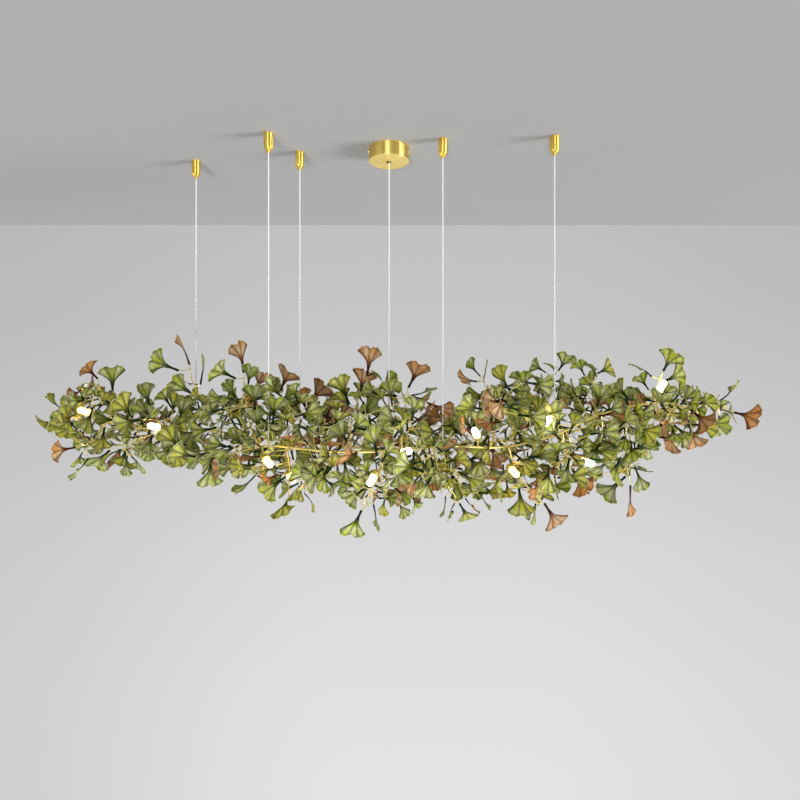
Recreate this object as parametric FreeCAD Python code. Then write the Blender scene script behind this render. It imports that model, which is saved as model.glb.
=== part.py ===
import FreeCAD, Part
import math
import os
import random

# A pendant light made as a long branch of cast ginkgo leaves, in millimetres.
# The origin is the middle of the canopy's ceiling face. +Z is up, +X runs along
# the branch to the right, and +Y points away from the viewer.

Vector = FreeCAD.Vector
UP = Vector(0, 0, 1)
TURN = 2 * math.pi

# Fits that every piece shares
FIT = 0.3
OVERRUN = 1.0

# Canopy cup, with its bracket and side screws
CANOPY_D = 100.0
CANOPY_H = 33.0
CANOPY_WALL = 1.2
CANOPY_SIDES = 44
BRACKET_WIDTH = 18.0
BRACKET_STOCK = 2.0
BRACKET_LEG = 14.0
WINDOW_LENGTH = 30.0
WINDOW_WIDTH = 10.0
SLOT_SPACING = 54.0
SLOT_LENGTH = 14.0
SLOT_WIDTH = 4.6
SIDE_SCREW_D = 3.9
SIDE_SCREW_HEAD_D = 7.0
SIDE_SCREW_HEAD_H = 2.4
SIDE_SCREW_LENGTH = 7.0
HIDDEN_SIDES = 8

# Terminal block inside the canopy
TERMINAL_LENGTH = 34.0
TERMINAL_DEPTH = 13.0
TERMINAL_H = 18.0
TERMINAL_POLES = 3
SLEEVE_SIDE = 5.0
SLEEVE_SCREW_D = 3.4
SLEEVE_INSET = 1.5

# Cable gland at the middle of the canopy, and its nut
GLAND_D = 8.0
GLAND_FLANGE_D = 14.0
GLAND_FLANGE_H = 3.0
GLAND_NUT_D = 13.0
GLAND_NUT_H = 3.2
GLAND_TAIL = 4.0
NUT_SIDES = 6
CABLE_D = 3.4

# Wire gripper on the ceiling
GRIPPER_D = 22.0
GRIPPER_H = 35.0
GRIPPER_CONE_H = 7.0
GRIPPER_NOSE_D = 10.0
GRIPPER_CHAMBER_D = 15.0
GRIPPER_SIDES = 16
CAP_H = 9.0
CAP_HOLE_D = 4.4
PLUNGER_D = 6.4
PLUNGER_FLANGE_D = 11.0
PLUNGER_FLANGE_H = 2.2
PLUNGER_SHOWS = 3.5
PLUNGER_TRAVEL = 2.5
PLUNGER_HEAD_H = 5.0
SPRING_D = 11.0
SPRING_WIRE = 1.2
SPRING_SIDES = 6
BALL_D = 2.6
BALLS = 3
BALL_SIDES = 5
WIRE_D = 2.4
WIRE_END_ROOM = 6.0

# Stems and twigs
STEM_D = 6.6
SIDE_STEM_D = 4.4
TWIG_D = 2.6
ANCHOR_D = 6.0
ANCHOR_H = 14.0
JUNCTION_D = 14.0
JUNCTION_H = 30.0
STEM_SIDES = 8
SIDE_STEM_SIDES = 5
TWIG_SIDES = 3

# Bulbs and their holders
BULB_D = 15.0
BULB_H = 34.0
BULB_CROWN_H = 5.0
HOLDER_D = 19.0
HOLDER_H = 20.0
HOLDER_WALL = 1.2
HOLDER_SEAT_H = 12.0
BULB_SEATING = 4.0
HOLDER_SIDES = 8

# A leaf: a three-sided petiole and a thin cupped fan
PETIOLE = 26.0
PETIOLE_WIDTH = 5.2
PETIOLE_DEPTH = 3.9
BLADE = 53.0
BLADE_HALF_WIDTH = 34.0
BLADE_THICKNESS = 1.5
LEAF_SIZE_SHARES = {"big": 1.0, "mid": 0.84, "small": 0.66}
# Right half of the fan from the petiole to the top: across, along
FAN_SHARES = ((0.30, 0.36), (1.0, 0.64), (0.56, 0.96))
MIDDLE_SHARE = 0.58
# Each mould's cup, curl and twist, as shares of the half width
MOULD_SHARES = (
    (0.34, 0.12, 0.10),
    (0.50, -0.16, -0.12),
    (0.22, 0.42, 0.00),
    (0.38, 0.26, 0.24),
    (0.14, -0.34, -0.16),
)
SHOWN_SHARE = 0.93

# How the leaves fill the branch
CLOUD_HALF_DEPTH = 200.0
SHORTEST_TWIG = 9.0
LONGEST_TWIG = 150.0
FILL_TWIG = 54.0
SAMPLE_STEP = 8.0
BLADE_ROOM = 3.6
TWIG_ROOM = 2.4
STEM_ROOM = 5.2
BULB_ROOM = 9.5
TWIG_START = 15.0
DEPTH_STEP = 17.0
DEPTH_STEPS = 17
SEAT_SLIDE_SHARES = (-2.5, -1.2, 0.0, 1.2, 2.5)
LEAN_SHARE = 0.3
FLAT_LEAN_SHARE = 0.42
DETOUR_SHARE = 1.8
WANDER_SHARE = 0.7
FACING_SHARE = 1.1
LEAVES_IN_ALL = 250
AMBER_SHARE = 0.15
SEED = 11
TRIES = 9000
SPRAYS = 6

# The viewer of the photograph, and its picture in pixels
EYE_DISTANCE = 1491.0
EYE_DROP = 628.0
# The picture's middle, its focal length, and the x of the canopy's axis
PICTURE_PX = (400.0, 598.0, 388.49)

# The five wires: picture x, depth as a share of the cloud's half depth
WIRES = ((195.56, 0.390), (268.02, -0.430), (299.31, 0.105), (442.30, -0.270), (554.15, -0.340))

# The two long stems: picture x, y and depth share of each bend
REAR_STEM_PX = (
    (80, 413, 0.00), (118, 425, 0.18), (158, 429, 0.34), (195.56, 427, 0.390), (250, 437, 0.24),
    (299.31, 441, 0.105), (345, 446, 0.06), (374, 449, 0.0), (404, 449, 0.0), (440, 445, 0.14),
    (500, 441, 0.30), (560, 434, 0.36), (608, 423, 0.24), (655, 411, 0.10), (702, 404, 0.02), (726, 406, -0.04),
)
FRONT_STEM_PX = (
    (222, 455, -0.26), (268.02, 444, -0.430), (330, 452, -0.52), (388, 451, -0.44), (442.30, 445, -0.270),
    (500, 448, -0.42), (554.15, 436, -0.340), (596, 414, -0.36), (634, 404, -0.30), (668, 402, -0.16),
)
# Rods from the rear stem to the front stem: picture x at each end
BRIDGES_PX = ((242, 236), (352, 340), (452, 462), (538, 528), (636, 622))

# Side stems: "rear" or "front", the picture x where it leaves, its bends and its end depth share
SIDE_STEMS_PX = (
    ("rear", 112, ((105, 399), (97, 383)), 0.02),
    ("rear", 104, ((95, 440), (83, 450)), -0.30),
    ("rear", 216, ((202, 401), (190, 377)), -0.05),
    ("front", 258, ((247, 417), (243, 380)), -0.20),
    ("front", 262, ((263, 470),), -0.45),
    ("front", 286, ((290, 468), (288, 490)), -0.50),
    ("rear", 312, ((320, 430), (324, 420)), -0.10),
    ("rear", 326, ((318, 470), (304, 482)), -0.15),
    ("rear", 350, ((350, 424), (357, 400)), -0.05),
    ("front", 384, ((380, 472), (363, 504)), -0.30),
    ("rear", 402, ((402, 418), (408, 391)), -0.10),
    ("front", 432, ((439, 474), (456, 497)), -0.35),
    ("front", 490, ((498, 418), (487, 384)), -0.20),
    ("front", 508, ((516, 474), (541, 501)), -0.40),
    ("rear", 548, ((547, 404), (551, 378)), 0.10),
    ("front", 562, ((564, 460),), -0.30),
    ("rear", 590, ((592, 404), (592, 380)), 0.05),
    ("rear", 648, ((628, 436), (626, 470)), -0.10),
    ("rear", 656, ((653, 394), (661, 374)), -0.05),
    ("rear", 676, ((672, 424),), -0.20),
    ("rear", 690, ((697, 421),), -0.20),
)

# Bulbs: picture x, y of the capsule's middle, depth share, and the way it points: right, away, up
BULBS_PX = (
    (84, 411, -0.10, (-0.5, -0.7, 0.3)), (153, 426, -0.25, (-0.3, -0.9, 0.2)),
    (268, 462, -0.62, (0.5, -0.7, -0.4)), (291, 478, -0.30, (0.4, -0.8, -0.3)),
    (371, 480, -0.55, (-0.3, -0.8, -0.5)), (406, 451, -0.62, (0.5, -0.8, 0.2)),
    (475, 432, -0.50, (-0.3, -0.8, 0.5)), (514, 472, -0.55, (0.2, -0.9, -0.3)),
    (547, 421, -0.55, (0.1, -0.8, 0.4)), (587, 462, -0.50, (0.7, -0.6, -0.2)),
    (661, 386, -0.20, (0.3, -0.5, 0.8)),
)

# The mass of the cloud: picture x, top y, bottom y
CLOUD_PX = (
    (55, 408, 430), (85, 382, 455), (120, 396, 466), (150, 404, 458), (185, 384, 462), (215, 398, 474),
    (245, 384, 476), (285, 376, 496), (320, 394, 492), (350, 384, 496), (385, 384, 504), (415, 388, 500),
    (445, 412, 486), (475, 396, 496), (500, 384, 494), (540, 376, 500), (590, 382, 484), (620, 392, 470),
    (650, 392, 450), (690, 392, 442), (730, 404, 422),
)

# How far a blade is turned from facing the viewer
TURN_DEGREES = {"flat": 14, "half": 46, "edge": 80}

# Green leaves that stand out in the photograph: petiole end x, y, rim x, y, turn, size
GREEN_LEAVES_PX = (
    (55, 419, 38, 427, "flat", "mid"), (68, 412, 44, 398, "edge", "mid"), (74, 420, 63, 436, "flat", "mid"),
    (82, 452, 76, 462, "half", "small"), (88, 458, 73, 477, "edge", "mid"),
    (109, 450, 94, 464, "flat", "big"), (112, 394, 112, 367, "flat", "big"),
    (85, 400, 69, 401, "flat", "small"), (82, 384, 88, 396, "edge", "small"),
    (132, 417, 119, 399, "flat", "big"), (127, 455, 123, 478, "half", "small"),
    (127, 446, 119, 468, "flat", "big"), (131, 456, 143, 467, "edge", "mid"),
    (152, 412, 140, 380, "half", "big"), (134, 411, 144, 394, "edge", "mid"),
    (178, 370, 150, 359, "flat", "big"), (200, 384, 205, 353, "edge", "big"),
    (235, 378, 211, 366, "flat", "big"), (247, 389, 250, 366, "half", "mid"),
    (197, 397, 169, 378, "flat", "big"), (171, 407, 159, 389, "flat", "mid"),
    (197, 384, 182, 382, "edge", "small"), (208, 412, 203, 396, "half", "small"),
    (205, 415, 187, 419, "flat", "mid"), (238, 403, 226, 381, "half", "mid"),
    (173, 441, 159, 461, "flat", "mid"), (176, 441, 177, 466, "flat", "mid"),
    (209, 451, 189, 459, "flat", "mid"), (152, 434, 146, 452, "flat", "big"),
    (211, 458, 208, 485, "flat", "big"), (258, 471, 233, 500, "edge", "big"),
    (248, 456, 249, 476, "flat", "mid"), (287, 475, 262, 493, "flat", "big"),
    (288, 498, 281, 512, "half", "big"), (301, 481, 299, 500, "half", "small"),
    (304, 493, 316, 506, "edge", "small"), (328, 465, 318, 490, "half", "mid"),
    (367, 487, 345, 498, "flat", "big"), (361, 510, 350, 533, "flat", "big"),
    (373, 504, 378, 529, "edge", "mid"), (379, 458, 361, 466, "flat", "mid"),
    (325, 479, 338, 490, "flat", "mid"), (386, 494, 379, 516, "half", "small"),
    (394, 499, 408, 514, "half", "small"), (337, 417, 336, 398, "flat", "mid"),
    (349, 404, 337, 375, "flat", "big"), (367, 375, 379, 372, "half", "small"),
    (371, 391, 397, 381, "flat", "big"), (392, 406, 388, 380, "flat", "mid"),
    (355, 417, 378, 404, "flat", "big"), (411, 395, 435, 390, "edge", "mid"),
    (410, 400, 428, 399, "half", "mid"), (411, 420, 417, 398, "flat", "mid"),
    (448, 427, 444, 410, "half", "small"), (475, 434, 457, 410, "flat", "big"),
    (480, 376, 466, 361, "half", "small"), (483, 378, 488, 363, "edge", "small"),
    (511, 393, 494, 366, "half", "big"), (487, 393, 471, 398, "flat", "mid"),
    (526, 393, 521, 370, "flat", "big"), (545, 372, 532, 363, "flat", "small"),
    (555, 374, 551, 361, "half", "small"), (558, 370, 567, 357, "flat", "mid"),
    (584, 375, 577, 361, "flat", "small"), (596, 376, 591, 363, "half", "small"),
    (597, 373, 610, 366, "flat", "mid"), (594, 393, 587, 376, "flat", "mid"),
    (629, 399, 613, 383, "flat", "mid"), (648, 389, 638, 375, "flat", "small"),
    (651, 376, 635, 361, "edge", "mid"), (663, 370, 672, 354, "flat", "big"),
    (661, 382, 686, 371, "flat", "big"), (660, 400, 669, 385, "flat", "small"),
    (672, 401, 686, 384, "half", "mid"), (677, 407, 694, 389, "flat", "mid"),
    (694, 404, 714, 400, "flat", "mid"), (720, 400, 739, 385, "edge", "mid"),
    (722, 409, 736, 414, "half", "mid"), (705, 422, 726, 424, "flat", "mid"),
    (661, 424, 644, 441, "flat", "big"), (623, 427, 609, 441, "flat", "mid"),
    (606, 424, 597, 442, "edge", "small"), (624, 436, 602, 453, "flat", "big"),
    (620, 457, 610, 481, "half", "big"), (625, 476, 596, 502, "flat", "big"),
    (634, 465, 644, 492, "half", "mid"), (627, 466, 647, 472, "edge", "mid"),
    (629, 475, 629, 464, "half", "small"), (571, 468, 582, 490, "edge", "mid"),
    (569, 458, 564, 481, "flat", "mid"), (554, 468, 555, 496, "edge", "big"),
    (548, 465, 548, 490, "half", "mid"), (518, 485, 522, 513, "flat", "big"),
    (535, 503, 533, 528, "edge", "small"), (536, 504, 527, 514, "half", "small"),
    (506, 480, 508, 498, "flat", "small"), (479, 491, 489, 513, "edge", "small"),
    (459, 503, 470, 521, "flat", "mid"), (445, 496, 444, 515, "edge", "small"),
    (454, 503, 446, 517, "edge", "small"), (448, 470, 463, 498, "flat", "big"),
    (458, 471, 480, 485, "flat", "mid"), (557, 461, 557, 440, "flat", "big"),
    (413, 497, 416, 510, "half", "small"), (431, 475, 422, 495, "flat", "mid"),
    (413, 451, 413, 476, "flat", "mid"),
)
# Amber leaves, read the same way
AMBER_LEAVES_PX = (
    (75, 447, 51, 451, "flat", "mid"), (97, 378, 83, 364, "flat", "mid"),
    (99, 390, 88, 380, "half", "small"), (189, 364, 179, 334, "edge", "big"),
    (243, 372, 240, 344, "half", "big"), (253, 391, 264, 374, "flat", "mid"),
    (280, 390, 289, 369, "flat", "big"), (307, 404, 324, 384, "flat", "big"),
    (325, 418, 333, 397, "edge", "big"), (338, 423, 345, 405, "half", "mid"),
    (360, 393, 363, 373, "flat", "big"), (366, 377, 372, 344, "flat", "big"),
    (213, 439, 208, 464, "half", "mid"), (234, 467, 213, 465, "flat", "big"),
    (408, 387, 420, 364, "flat", "big"), (411, 424, 436, 406, "edge", "big"),
    (472, 434, 458, 424, "half", "mid"), (500, 421, 482, 424, "half", "mid"),
    (474, 446, 456, 451, "flat", "big"), (476, 381, 461, 379, "half", "mid"),
    (504, 400, 486, 403, "flat", "big"), (504, 393, 496, 413, "half", "mid"),
    (734, 412, 755, 417, "flat", "big"), (690, 409, 711, 427, "flat", "big"),
    (693, 410, 681, 427, "half", "mid"), (688, 424, 697, 447, "flat", "mid"),
    (672, 429, 669, 450, "half", "mid"), (647, 434, 643, 453, "edge", "mid"),
    (630, 485, 629, 516, "edge", "big"), (572, 468, 587, 490, "flat", "big"),
    (549, 473, 529, 494, "edge", "big"), (544, 503, 559, 527, "flat", "big"),
    (486, 488, 502, 500, "half", "mid"), (465, 498, 475, 512, "edge", "small"),
)


def unit(v):
    """A copy of a vector, one long."""
    return Vector(v).normalize()


def closed_solid(faces):
    """The solid that a closed set of flat faces bounds, each face a list of corners."""
    shell = Part.makeShell([Part.Face(Part.makePolygon(list(f) + [f[0]])) for f in faces])
    solid = Part.makeSolid(shell)
    if solid.Volume < 0:
        solid.reverse()
    return solid


def corners_around(axis, radius, sides, aside=None):
    """Corner offsets of a regular section square to an axis."""
    first = aside or (UP if abs(axis.z) < 0.9 else Vector(1, 0, 0))
    across = unit(axis.cross(first))
    beside = unit(axis.cross(across))
    angles = [TURN * (k + 0.5) / sides for k in range(sides)]
    return [across * (radius * math.cos(a)) + beside * (radius * math.sin(a)) for a in angles]


def faceted(profile, sides, place=Vector(), axis=UP):
    """A many-sided turned solid along an axis. The profile is a closed list of radius and height."""
    rings = []
    for r, z in profile:
        middle = place + axis * z
        rings.append([middle + c for c in corners_around(axis, r, sides)] if r else middle)
    heights = [z for r, z in profile]
    faces = []
    for k in range(len(rings)):
        low, high = rings[k - 1], rings[k]
        if isinstance(low, list) and isinstance(high, list):
            faces += [(low[j - 1], low[j], high[j], high[j - 1]) for j in range(sides)]
        elif isinstance(low, list) or isinstance(high, list):
            ring, tip = (low, high) if isinstance(low, list) else (high, low)
            if heights[k - 1] == heights[k]:
                faces.append(ring)
            else:
                faces += [(ring[j - 1], ring[j], tip) for j in range(sides)]
    return closed_solid(faces)


def met(corners, direction, plane):
    """Where lines along a direction from each corner meet a plane, given as a point and a normal."""
    point, normal = plane
    return [p + direction * ((point - p).dot(normal) / direction.dot(normal)) for p in corners]


def loft_rings(rings):
    """A solid with flat sides through rings of as many corners each."""
    faces = [rings[0][::-1], rings[-1]]
    for low, high in zip(rings, rings[1:]):
        for k in range(len(low)):
            faces.append((low[k - 1], low[k], high[k], high[k - 1]))
    return closed_solid(faces)


class Run:
    """A straight run of a stem or twig: its axis from a to b, and the flats around it."""

    def __init__(self, a, b, ring, room):
        self.a, self.b, self.room = a, b, room
        self.along = unit(b - a)
        self.length = (b - a).Length
        self.flats = []
        for k in range(len(ring)):
            normal = unit((ring[k] - ring[k - 1]).cross(self.along))
            if normal.dot(ring[k] - a) < 0:
                normal = normal * -1
            self.flats.append((ring[k], normal))

    def flat_towards(self, direction):
        """The flat that faces a direction most, as a point and an outward normal."""
        return max(self.flats, key=lambda flat: flat[1].dot(direction))

    def at(self, distance):
        """A point on the axis, this far from its start, kept off the run's ends."""
        end = min(STEM_D, self.length / 3)
        return self.a + self.along * min(max(distance, end), self.length - end)


def stem(points, diameter, sides, start=None, end=None):
    """A stem bent through points, with mitred bends. start and end are planes that trim it."""
    ways = [unit(b - a) for a, b in zip(points, points[1:])]
    corners = [points[0] + c for c in corners_around(ways[0], diameter / 2, sides)]
    rings = [met(corners, ways[0], start or (points[0], ways[0]))]
    runs = []
    for k, way in enumerate(ways):
        if k + 1 < len(ways):
            plane = (points[k + 1], unit(way + ways[k + 1]))
        else:
            plane = end or (points[-1], way)
        rings.append(met(rings[-1], way, plane))
        room = diameter / 2 + TWIG_ROOM
        runs.append(Run(points[k], points[k + 1], rings[-1], room))
    return loft_rings(rings), runs


def eye():
    """Where the photograph was taken from, so that the canopy's axis shows at its own pixel."""
    middle, focus, axis = PICTURE_PX
    return Vector((middle - axis) * EYE_DISTANCE / focus, -EYE_DISTANCE, -EYE_DROP)


EYE = eye()


def spot(x_px, y_px, depth):
    """The point that shows at a pixel of the photograph and lies at a depth."""
    middle, focus, _ = PICTURE_PX
    far = (depth - EYE.y) / focus
    return Vector(EYE.x + (x_px - middle) * far, depth, EYE.z - (y_px - middle) * far)


def pixel(point):
    """The pixel of the photograph at which a point shows."""
    middle, focus, _ = PICTURE_PX
    near = focus / (point.y - EYE.y)
    return middle + (point.x - EYE.x) * near, middle - (point.z - EYE.z) * near


def between(table, x, column):
    """A column of a table, read at x between its rows."""
    for low, high in zip(table, table[1:]):
        if low[0] <= x <= high[0]:
            return low[column] + (high[column] - low[column]) * (x - low[0]) / (high[0] - low[0])
    return table[0][column] if x < table[0][0] else table[-1][column]


def in_cloud(point):
    """Whether a point lies in the mass of the cloud, as the photograph shows it."""
    x, y = pixel(point)
    if not CLOUD_PX[0][0] <= x <= CLOUD_PX[-1][0] or abs(point.y) > CLOUD_HALF_DEPTH:
        return False
    return between(CLOUD_PX, x, 1) <= y <= between(CLOUD_PX, x, 2)


# Ceiling set


def canopy_cup():
    """A turned cup, open at the ceiling, with the gland's hole and a notch each side for a screw."""
    outer = CANOPY_D / 2
    inner = outer - CANOPY_WALL
    hole = GLAND_D / 2 + FIT
    cup = faceted(((outer, 0), (outer, -CANOPY_H), (hole, -CANOPY_H), (hole, CANOPY_WALL - CANOPY_H),
                   (inner, CANOPY_WALL - CANOPY_H), (inner, 0)), CANOPY_SIDES)
    width = SIDE_SCREW_D + FIT
    low = Vector(-outer - OVERRUN, -width / 2, side_screw_z() - width / 2)
    return cup.cut(Part.makeBox(CANOPY_D + 2 * OVERRUN, width, OVERRUN - low.z, low))


def side_screw_z():
    return -BRACKET_LEG / 2 - BRACKET_STOCK


def bracket_half():
    """Half of the bracket's length, its corners clear of the cup's wall by the fit."""
    inner = (CANOPY_D / 2 - CANOPY_WALL) * math.cos(math.pi / CANOPY_SIDES)
    return math.sqrt(inner ** 2 - (BRACKET_WIDTH / 2) ** 2) - FIT


def canopy_bracket():
    """A steel strap across the ceiling, with two slots, a window for the mains and a bent leg at each end."""
    half, stock = bracket_half(), BRACKET_STOCK
    outline = [
        (-half, 0), (half, 0), (half, -BRACKET_LEG), (half - stock, -BRACKET_LEG), (half - stock, -stock),
        (stock - half, -stock), (stock - half, -BRACKET_LEG), (-half, -BRACKET_LEG),
    ]
    corners = [Vector(x, -BRACKET_WIDTH / 2, z) for x, z in outline]
    strap = Part.Face(Part.makePolygon(corners + corners[:1])).extrude(Vector(0, BRACKET_WIDTH, 0))
    through = stock + 2 * OVERRUN
    for side in (-1, 1):
        middle = Vector(side * SLOT_SPACING / 2, 0, -stock - OVERRUN)
        strap = strap.cut(slot_tool(middle, through))
        strap = strap.cut(rod(SIDE_SCREW_D, through, Vector(side * (half + OVERRUN), 0, side_screw_z()),
                              Vector(-side, 0, 0)))
    low = Vector(-WINDOW_LENGTH / 2, -WINDOW_WIDTH / 2, -stock - OVERRUN)
    return strap.cut(Part.makeBox(WINDOW_LENGTH, WINDOW_WIDTH, through, low))


def slot_tool(middle, height):
    """A tool for a slot along X with round ends."""
    straight = Vector(SLOT_LENGTH - SLOT_WIDTH, 0, 0)
    start = middle - straight / 2
    bar = Part.makeBox(straight.x, SLOT_WIDTH, height, start - Vector(0, SLOT_WIDTH / 2, 0))
    ends = [Part.makeCylinder(SLOT_WIDTH / 2, height, point) for point in (start, start + straight)]
    return bar.fuse(ends).removeSplitter()


def rod(diameter, length, place, axis):
    """A plain rod with hidden flats, along an axis from a place."""
    return faceted(((0, 0), (diameter / 2, 0), (diameter / 2, length), (0, length)), HIDDEN_SIDES, place, axis)


def small_screw(head_d, head_h, shank_d, length, place, axis):
    """A small screw, its head's underside at a place and its shank along an axis."""
    return faceted(((0, -head_h), (head_d / 2, -head_h), (head_d / 2, 0), (shank_d / 2, 0),
                    (shank_d / 2, length), (0, length)), HIDDEN_SIDES, place, axis)


def canopy_side_screws():
    """A screw through each side of the cup into the bracket's leg."""
    return [small_screw(SIDE_SCREW_HEAD_D, SIDE_SCREW_HEAD_H, SIDE_SCREW_D - FIT, SIDE_SCREW_LENGTH,
                        Vector(side * CANOPY_D / 2, 0, side_screw_z()), Vector(-side, 0, 0))
            for side in (-1, 1)]


def pole_places():
    """The middle of each pole of the terminal block, which hangs under the strap's window."""
    pitch = TERMINAL_LENGTH / TERMINAL_POLES
    middle = -BRACKET_STOCK - TERMINAL_H / 2
    return [Vector((k - (TERMINAL_POLES - 1) / 2) * pitch, 0, middle) for k in range(TERMINAL_POLES)]


def terminal_block():
    """A moulded block with an upright bore for each pole, and a well in front for the pole's screw."""
    block = Part.makeBox(TERMINAL_LENGTH, TERMINAL_DEPTH, TERMINAL_H,
                         Vector(-TERMINAL_LENGTH / 2, -TERMINAL_DEPTH / 2, -BRACKET_STOCK - TERMINAL_H))
    side, well = SLEEVE_SIDE + FIT, SLEEVE_SCREW_D + FIT
    for place in pole_places():
        block = block.cut(Part.makeBox(side, side, TERMINAL_H + 2 * OVERRUN,
                                       place - Vector(side / 2, side / 2, TERMINAL_H / 2 + OVERRUN)))
        block = block.cut(Part.makeBox(well, TERMINAL_DEPTH, well,
                                       place - Vector(well / 2, TERMINAL_DEPTH, well / 2)))
    return block


def terminal_sleeves():
    """A square brass sleeve in each pole, with its screw pointing to the front."""
    sleeves = []
    length = TERMINAL_H - 2 * SLEEVE_INSET
    for place in pole_places():
        bar = Part.makeBox(SLEEVE_SIDE, SLEEVE_SIDE, length,
                           place - Vector(SLEEVE_SIDE / 2, SLEEVE_SIDE / 2, length / 2))
        sleeves.append(bar.fuse(rod(SLEEVE_SCREW_D, SLEEVE_SIDE, place, Vector(0, -1, 0))).removeSplitter())
    return sleeves


def cable_gland():
    """A threaded nipple through the cup's bottom, its flange outside and the cable's bore through it."""
    bore = CABLE_D / 2 + FIT
    low = -CANOPY_H - GLAND_FLANGE_H
    flange, nipple = GLAND_FLANGE_D / 2, GLAND_D / 2
    return faceted(((bore, low), (flange, low), (flange, -CANOPY_H), (nipple, -CANOPY_H),
                    (nipple, gland_top()), (bore, gland_top())), HIDDEN_SIDES)


def gland_top():
    return CANOPY_WALL + GLAND_NUT_H + GLAND_TAIL - CANOPY_H


def gland_nut():
    """A hexagon nut on the nipple, inside the cup."""
    radius = GLAND_NUT_D / 2
    low = CANOPY_WALL - CANOPY_H
    high = low + GLAND_NUT_H
    nut = faceted(((0, low), (radius, low), (radius, high), (0, high)), NUT_SIDES)
    return nut.cut(rod(GLAND_D + FIT, GLAND_NUT_H + 2 * OVERRUN, Vector(0, 0, low - OVERRUN), UP))


def cable_top():
    """The cable ends at the middle sleeve of the terminal block."""
    return SLEEVE_INSET - BRACKET_STOCK - TERMINAL_H


def gripper_places():
    """Where each gripper meets the ceiling."""
    places = []
    for x_px, share in WIRES:
        point = spot(x_px, PICTURE_PX[0], share * CLOUD_HALF_DEPTH)
        places.append(Vector(point.x, point.y, 0))
    return places


def gripper_barrel(place):
    """The barrel with its conical nose, open at the top and bored for the plunger."""
    wall, nose, low = GRIPPER_D / 2, GRIPPER_NOSE_D / 2, -GRIPPER_H - GRIPPER_CONE_H
    body = faceted(((0, 0), (wall, 0), (wall, -GRIPPER_H), (nose, low), (0, low)), GRIPPER_SIDES, place)
    body = body.cut(rod(GRIPPER_CHAMBER_D, GRIPPER_H + OVERRUN, place - UP * GRIPPER_H, UP))
    return body.cut(rod(PLUNGER_D + 2 * FIT, GRIPPER_CONE_H + 2 * OVERRUN, place + UP * (low - OVERRUN), UP))


def gripper_cap(place):
    """The threaded plug under the ceiling that the barrel screws on to, with a hole for its fixing."""
    plug = rod(GRIPPER_CHAMBER_D - FIT, CAP_H, place - UP * CAP_H, UP)
    return plug.cut(Part.makeCylinder(CAP_HOLE_D / 2, CAP_H + 2 * OVERRUN, place - UP * (CAP_H + OVERRUN)))


def plunger_low():
    return -GRIPPER_H - GRIPPER_CONE_H - PLUNGER_SHOWS


def plunger_flange_top():
    """The flange rests on the floor of the barrel's chamber, clear by the fit."""
    return FIT + PLUNGER_FLANGE_H - GRIPPER_H


def plunger(place):
    """The hollow plunger that is pushed up to free the wire, its flange on the chamber's floor."""
    bore, shank, flange = WIRE_D / 2 + FIT, PLUNGER_D / 2, PLUNGER_FLANGE_D / 2
    low, top = plunger_low(), plunger_flange_top()
    neck = top - PLUNGER_FLANGE_H
    return faceted(((bore, low), (shank, low), (shank, neck), (flange, neck), (flange, top), (bore, top)),
                   HIDDEN_SIDES, place)


def spring_low():
    return plunger_flange_top() + FIT


def spring_top():
    return -CAP_H - FIT


def gripper_spring(place):
    """The coil spring between the cap and the plunger, drawn as the sleeve it fills."""
    outer, inner = SPRING_D / 2, SPRING_D / 2 - SPRING_WIRE
    low, high = spring_low(), spring_top()
    return faceted(((inner, low), (outer, low), (outer, high), (inner, high)), SPRING_SIDES, place)


def locking_balls(place):
    """Three balls on the plunger's flange, around the wire."""
    radius = BALL_D / 2
    out = WIRE_D / 2 + radius + FIT / 2
    middle = plunger_flange_top() + radius + FIT / 3
    balls = []
    for k in range(BALLS):
        angle = TURN * k / BALLS
        centre = place + Vector(out * math.cos(angle), out * math.sin(angle), middle)
        balls.append(faceted(((0, -radius), (radius, -radius / 2), (radius, radius / 2), (0, radius)),
                             BALL_SIDES, centre))
    return balls


def wire_top():
    """A wire ends inside the barrel, this far under the cap."""
    return -CAP_H - WIRE_END_ROOM


# Branch


class Room:
    """A record of what fills the branch, as points with radii, for keeping pieces apart."""

    def __init__(self):
        self.cell = BULB_ROOM + BLADE_ROOM
        self.cells = {}

    def key(self, p):
        return int(p.x // self.cell), int(p.y // self.cell), int(p.z // self.cell)

    def add(self, points, radius):
        for p in points:
            self.cells.setdefault(self.key(p), []).append((p.x, p.y, p.z, radius))

    def clear(self, points, radius):
        """Whether every point keeps its radius off all that is recorded."""
        for p in points:
            kx, ky, kz = self.key(p)
            for i in (kx - 1, kx, kx + 1):
                for j in (ky - 1, ky, ky + 1):
                    for k in (kz - 1, kz, kz + 1):
                        for x, y, z, r in self.cells.get((i, j, k), ()):
                            if (x - p.x) ** 2 + (y - p.y) ** 2 + (z - p.z) ** 2 < (r + radius) ** 2:
                                return False
        return True


def dotted(a, b, skip=0.0):
    """Points along a line, the first part left out."""
    length = (b - a).Length
    count = max(int((length - skip) / (SAMPLE_STEP / 2)), 1)
    way = unit(b - a)
    if length <= skip:
        return []
    return [a + way * (skip + (length - skip) * (k + 0.5) / count) for k in range(count)]


def apart(run_a, run_b):
    """The least distance between the axes of two runs."""
    d1, d2, r = run_a.b - run_a.a, run_b.b - run_b.a, run_a.a - run_b.a
    a, e, f = d1.dot(d1), d2.dot(d2), d2.dot(r)
    c, b = d1.dot(r), d1.dot(d2)
    denom = a * e - b * b
    s = min(max((b * f - c * e) / denom, 0.0), 1.0) if denom > 0 else 0.0
    t = (b * s + f) / e
    if t < 0:
        t, s = 0.0, min(max(-c / a, 0.0), 1.0)
    elif t > 1:
        t, s = 1.0, min(max((b - c) / a, 0.0), 1.0)
    return ((run_a.a + d1 * s) - (run_b.a + d2 * t)).Length


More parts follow.
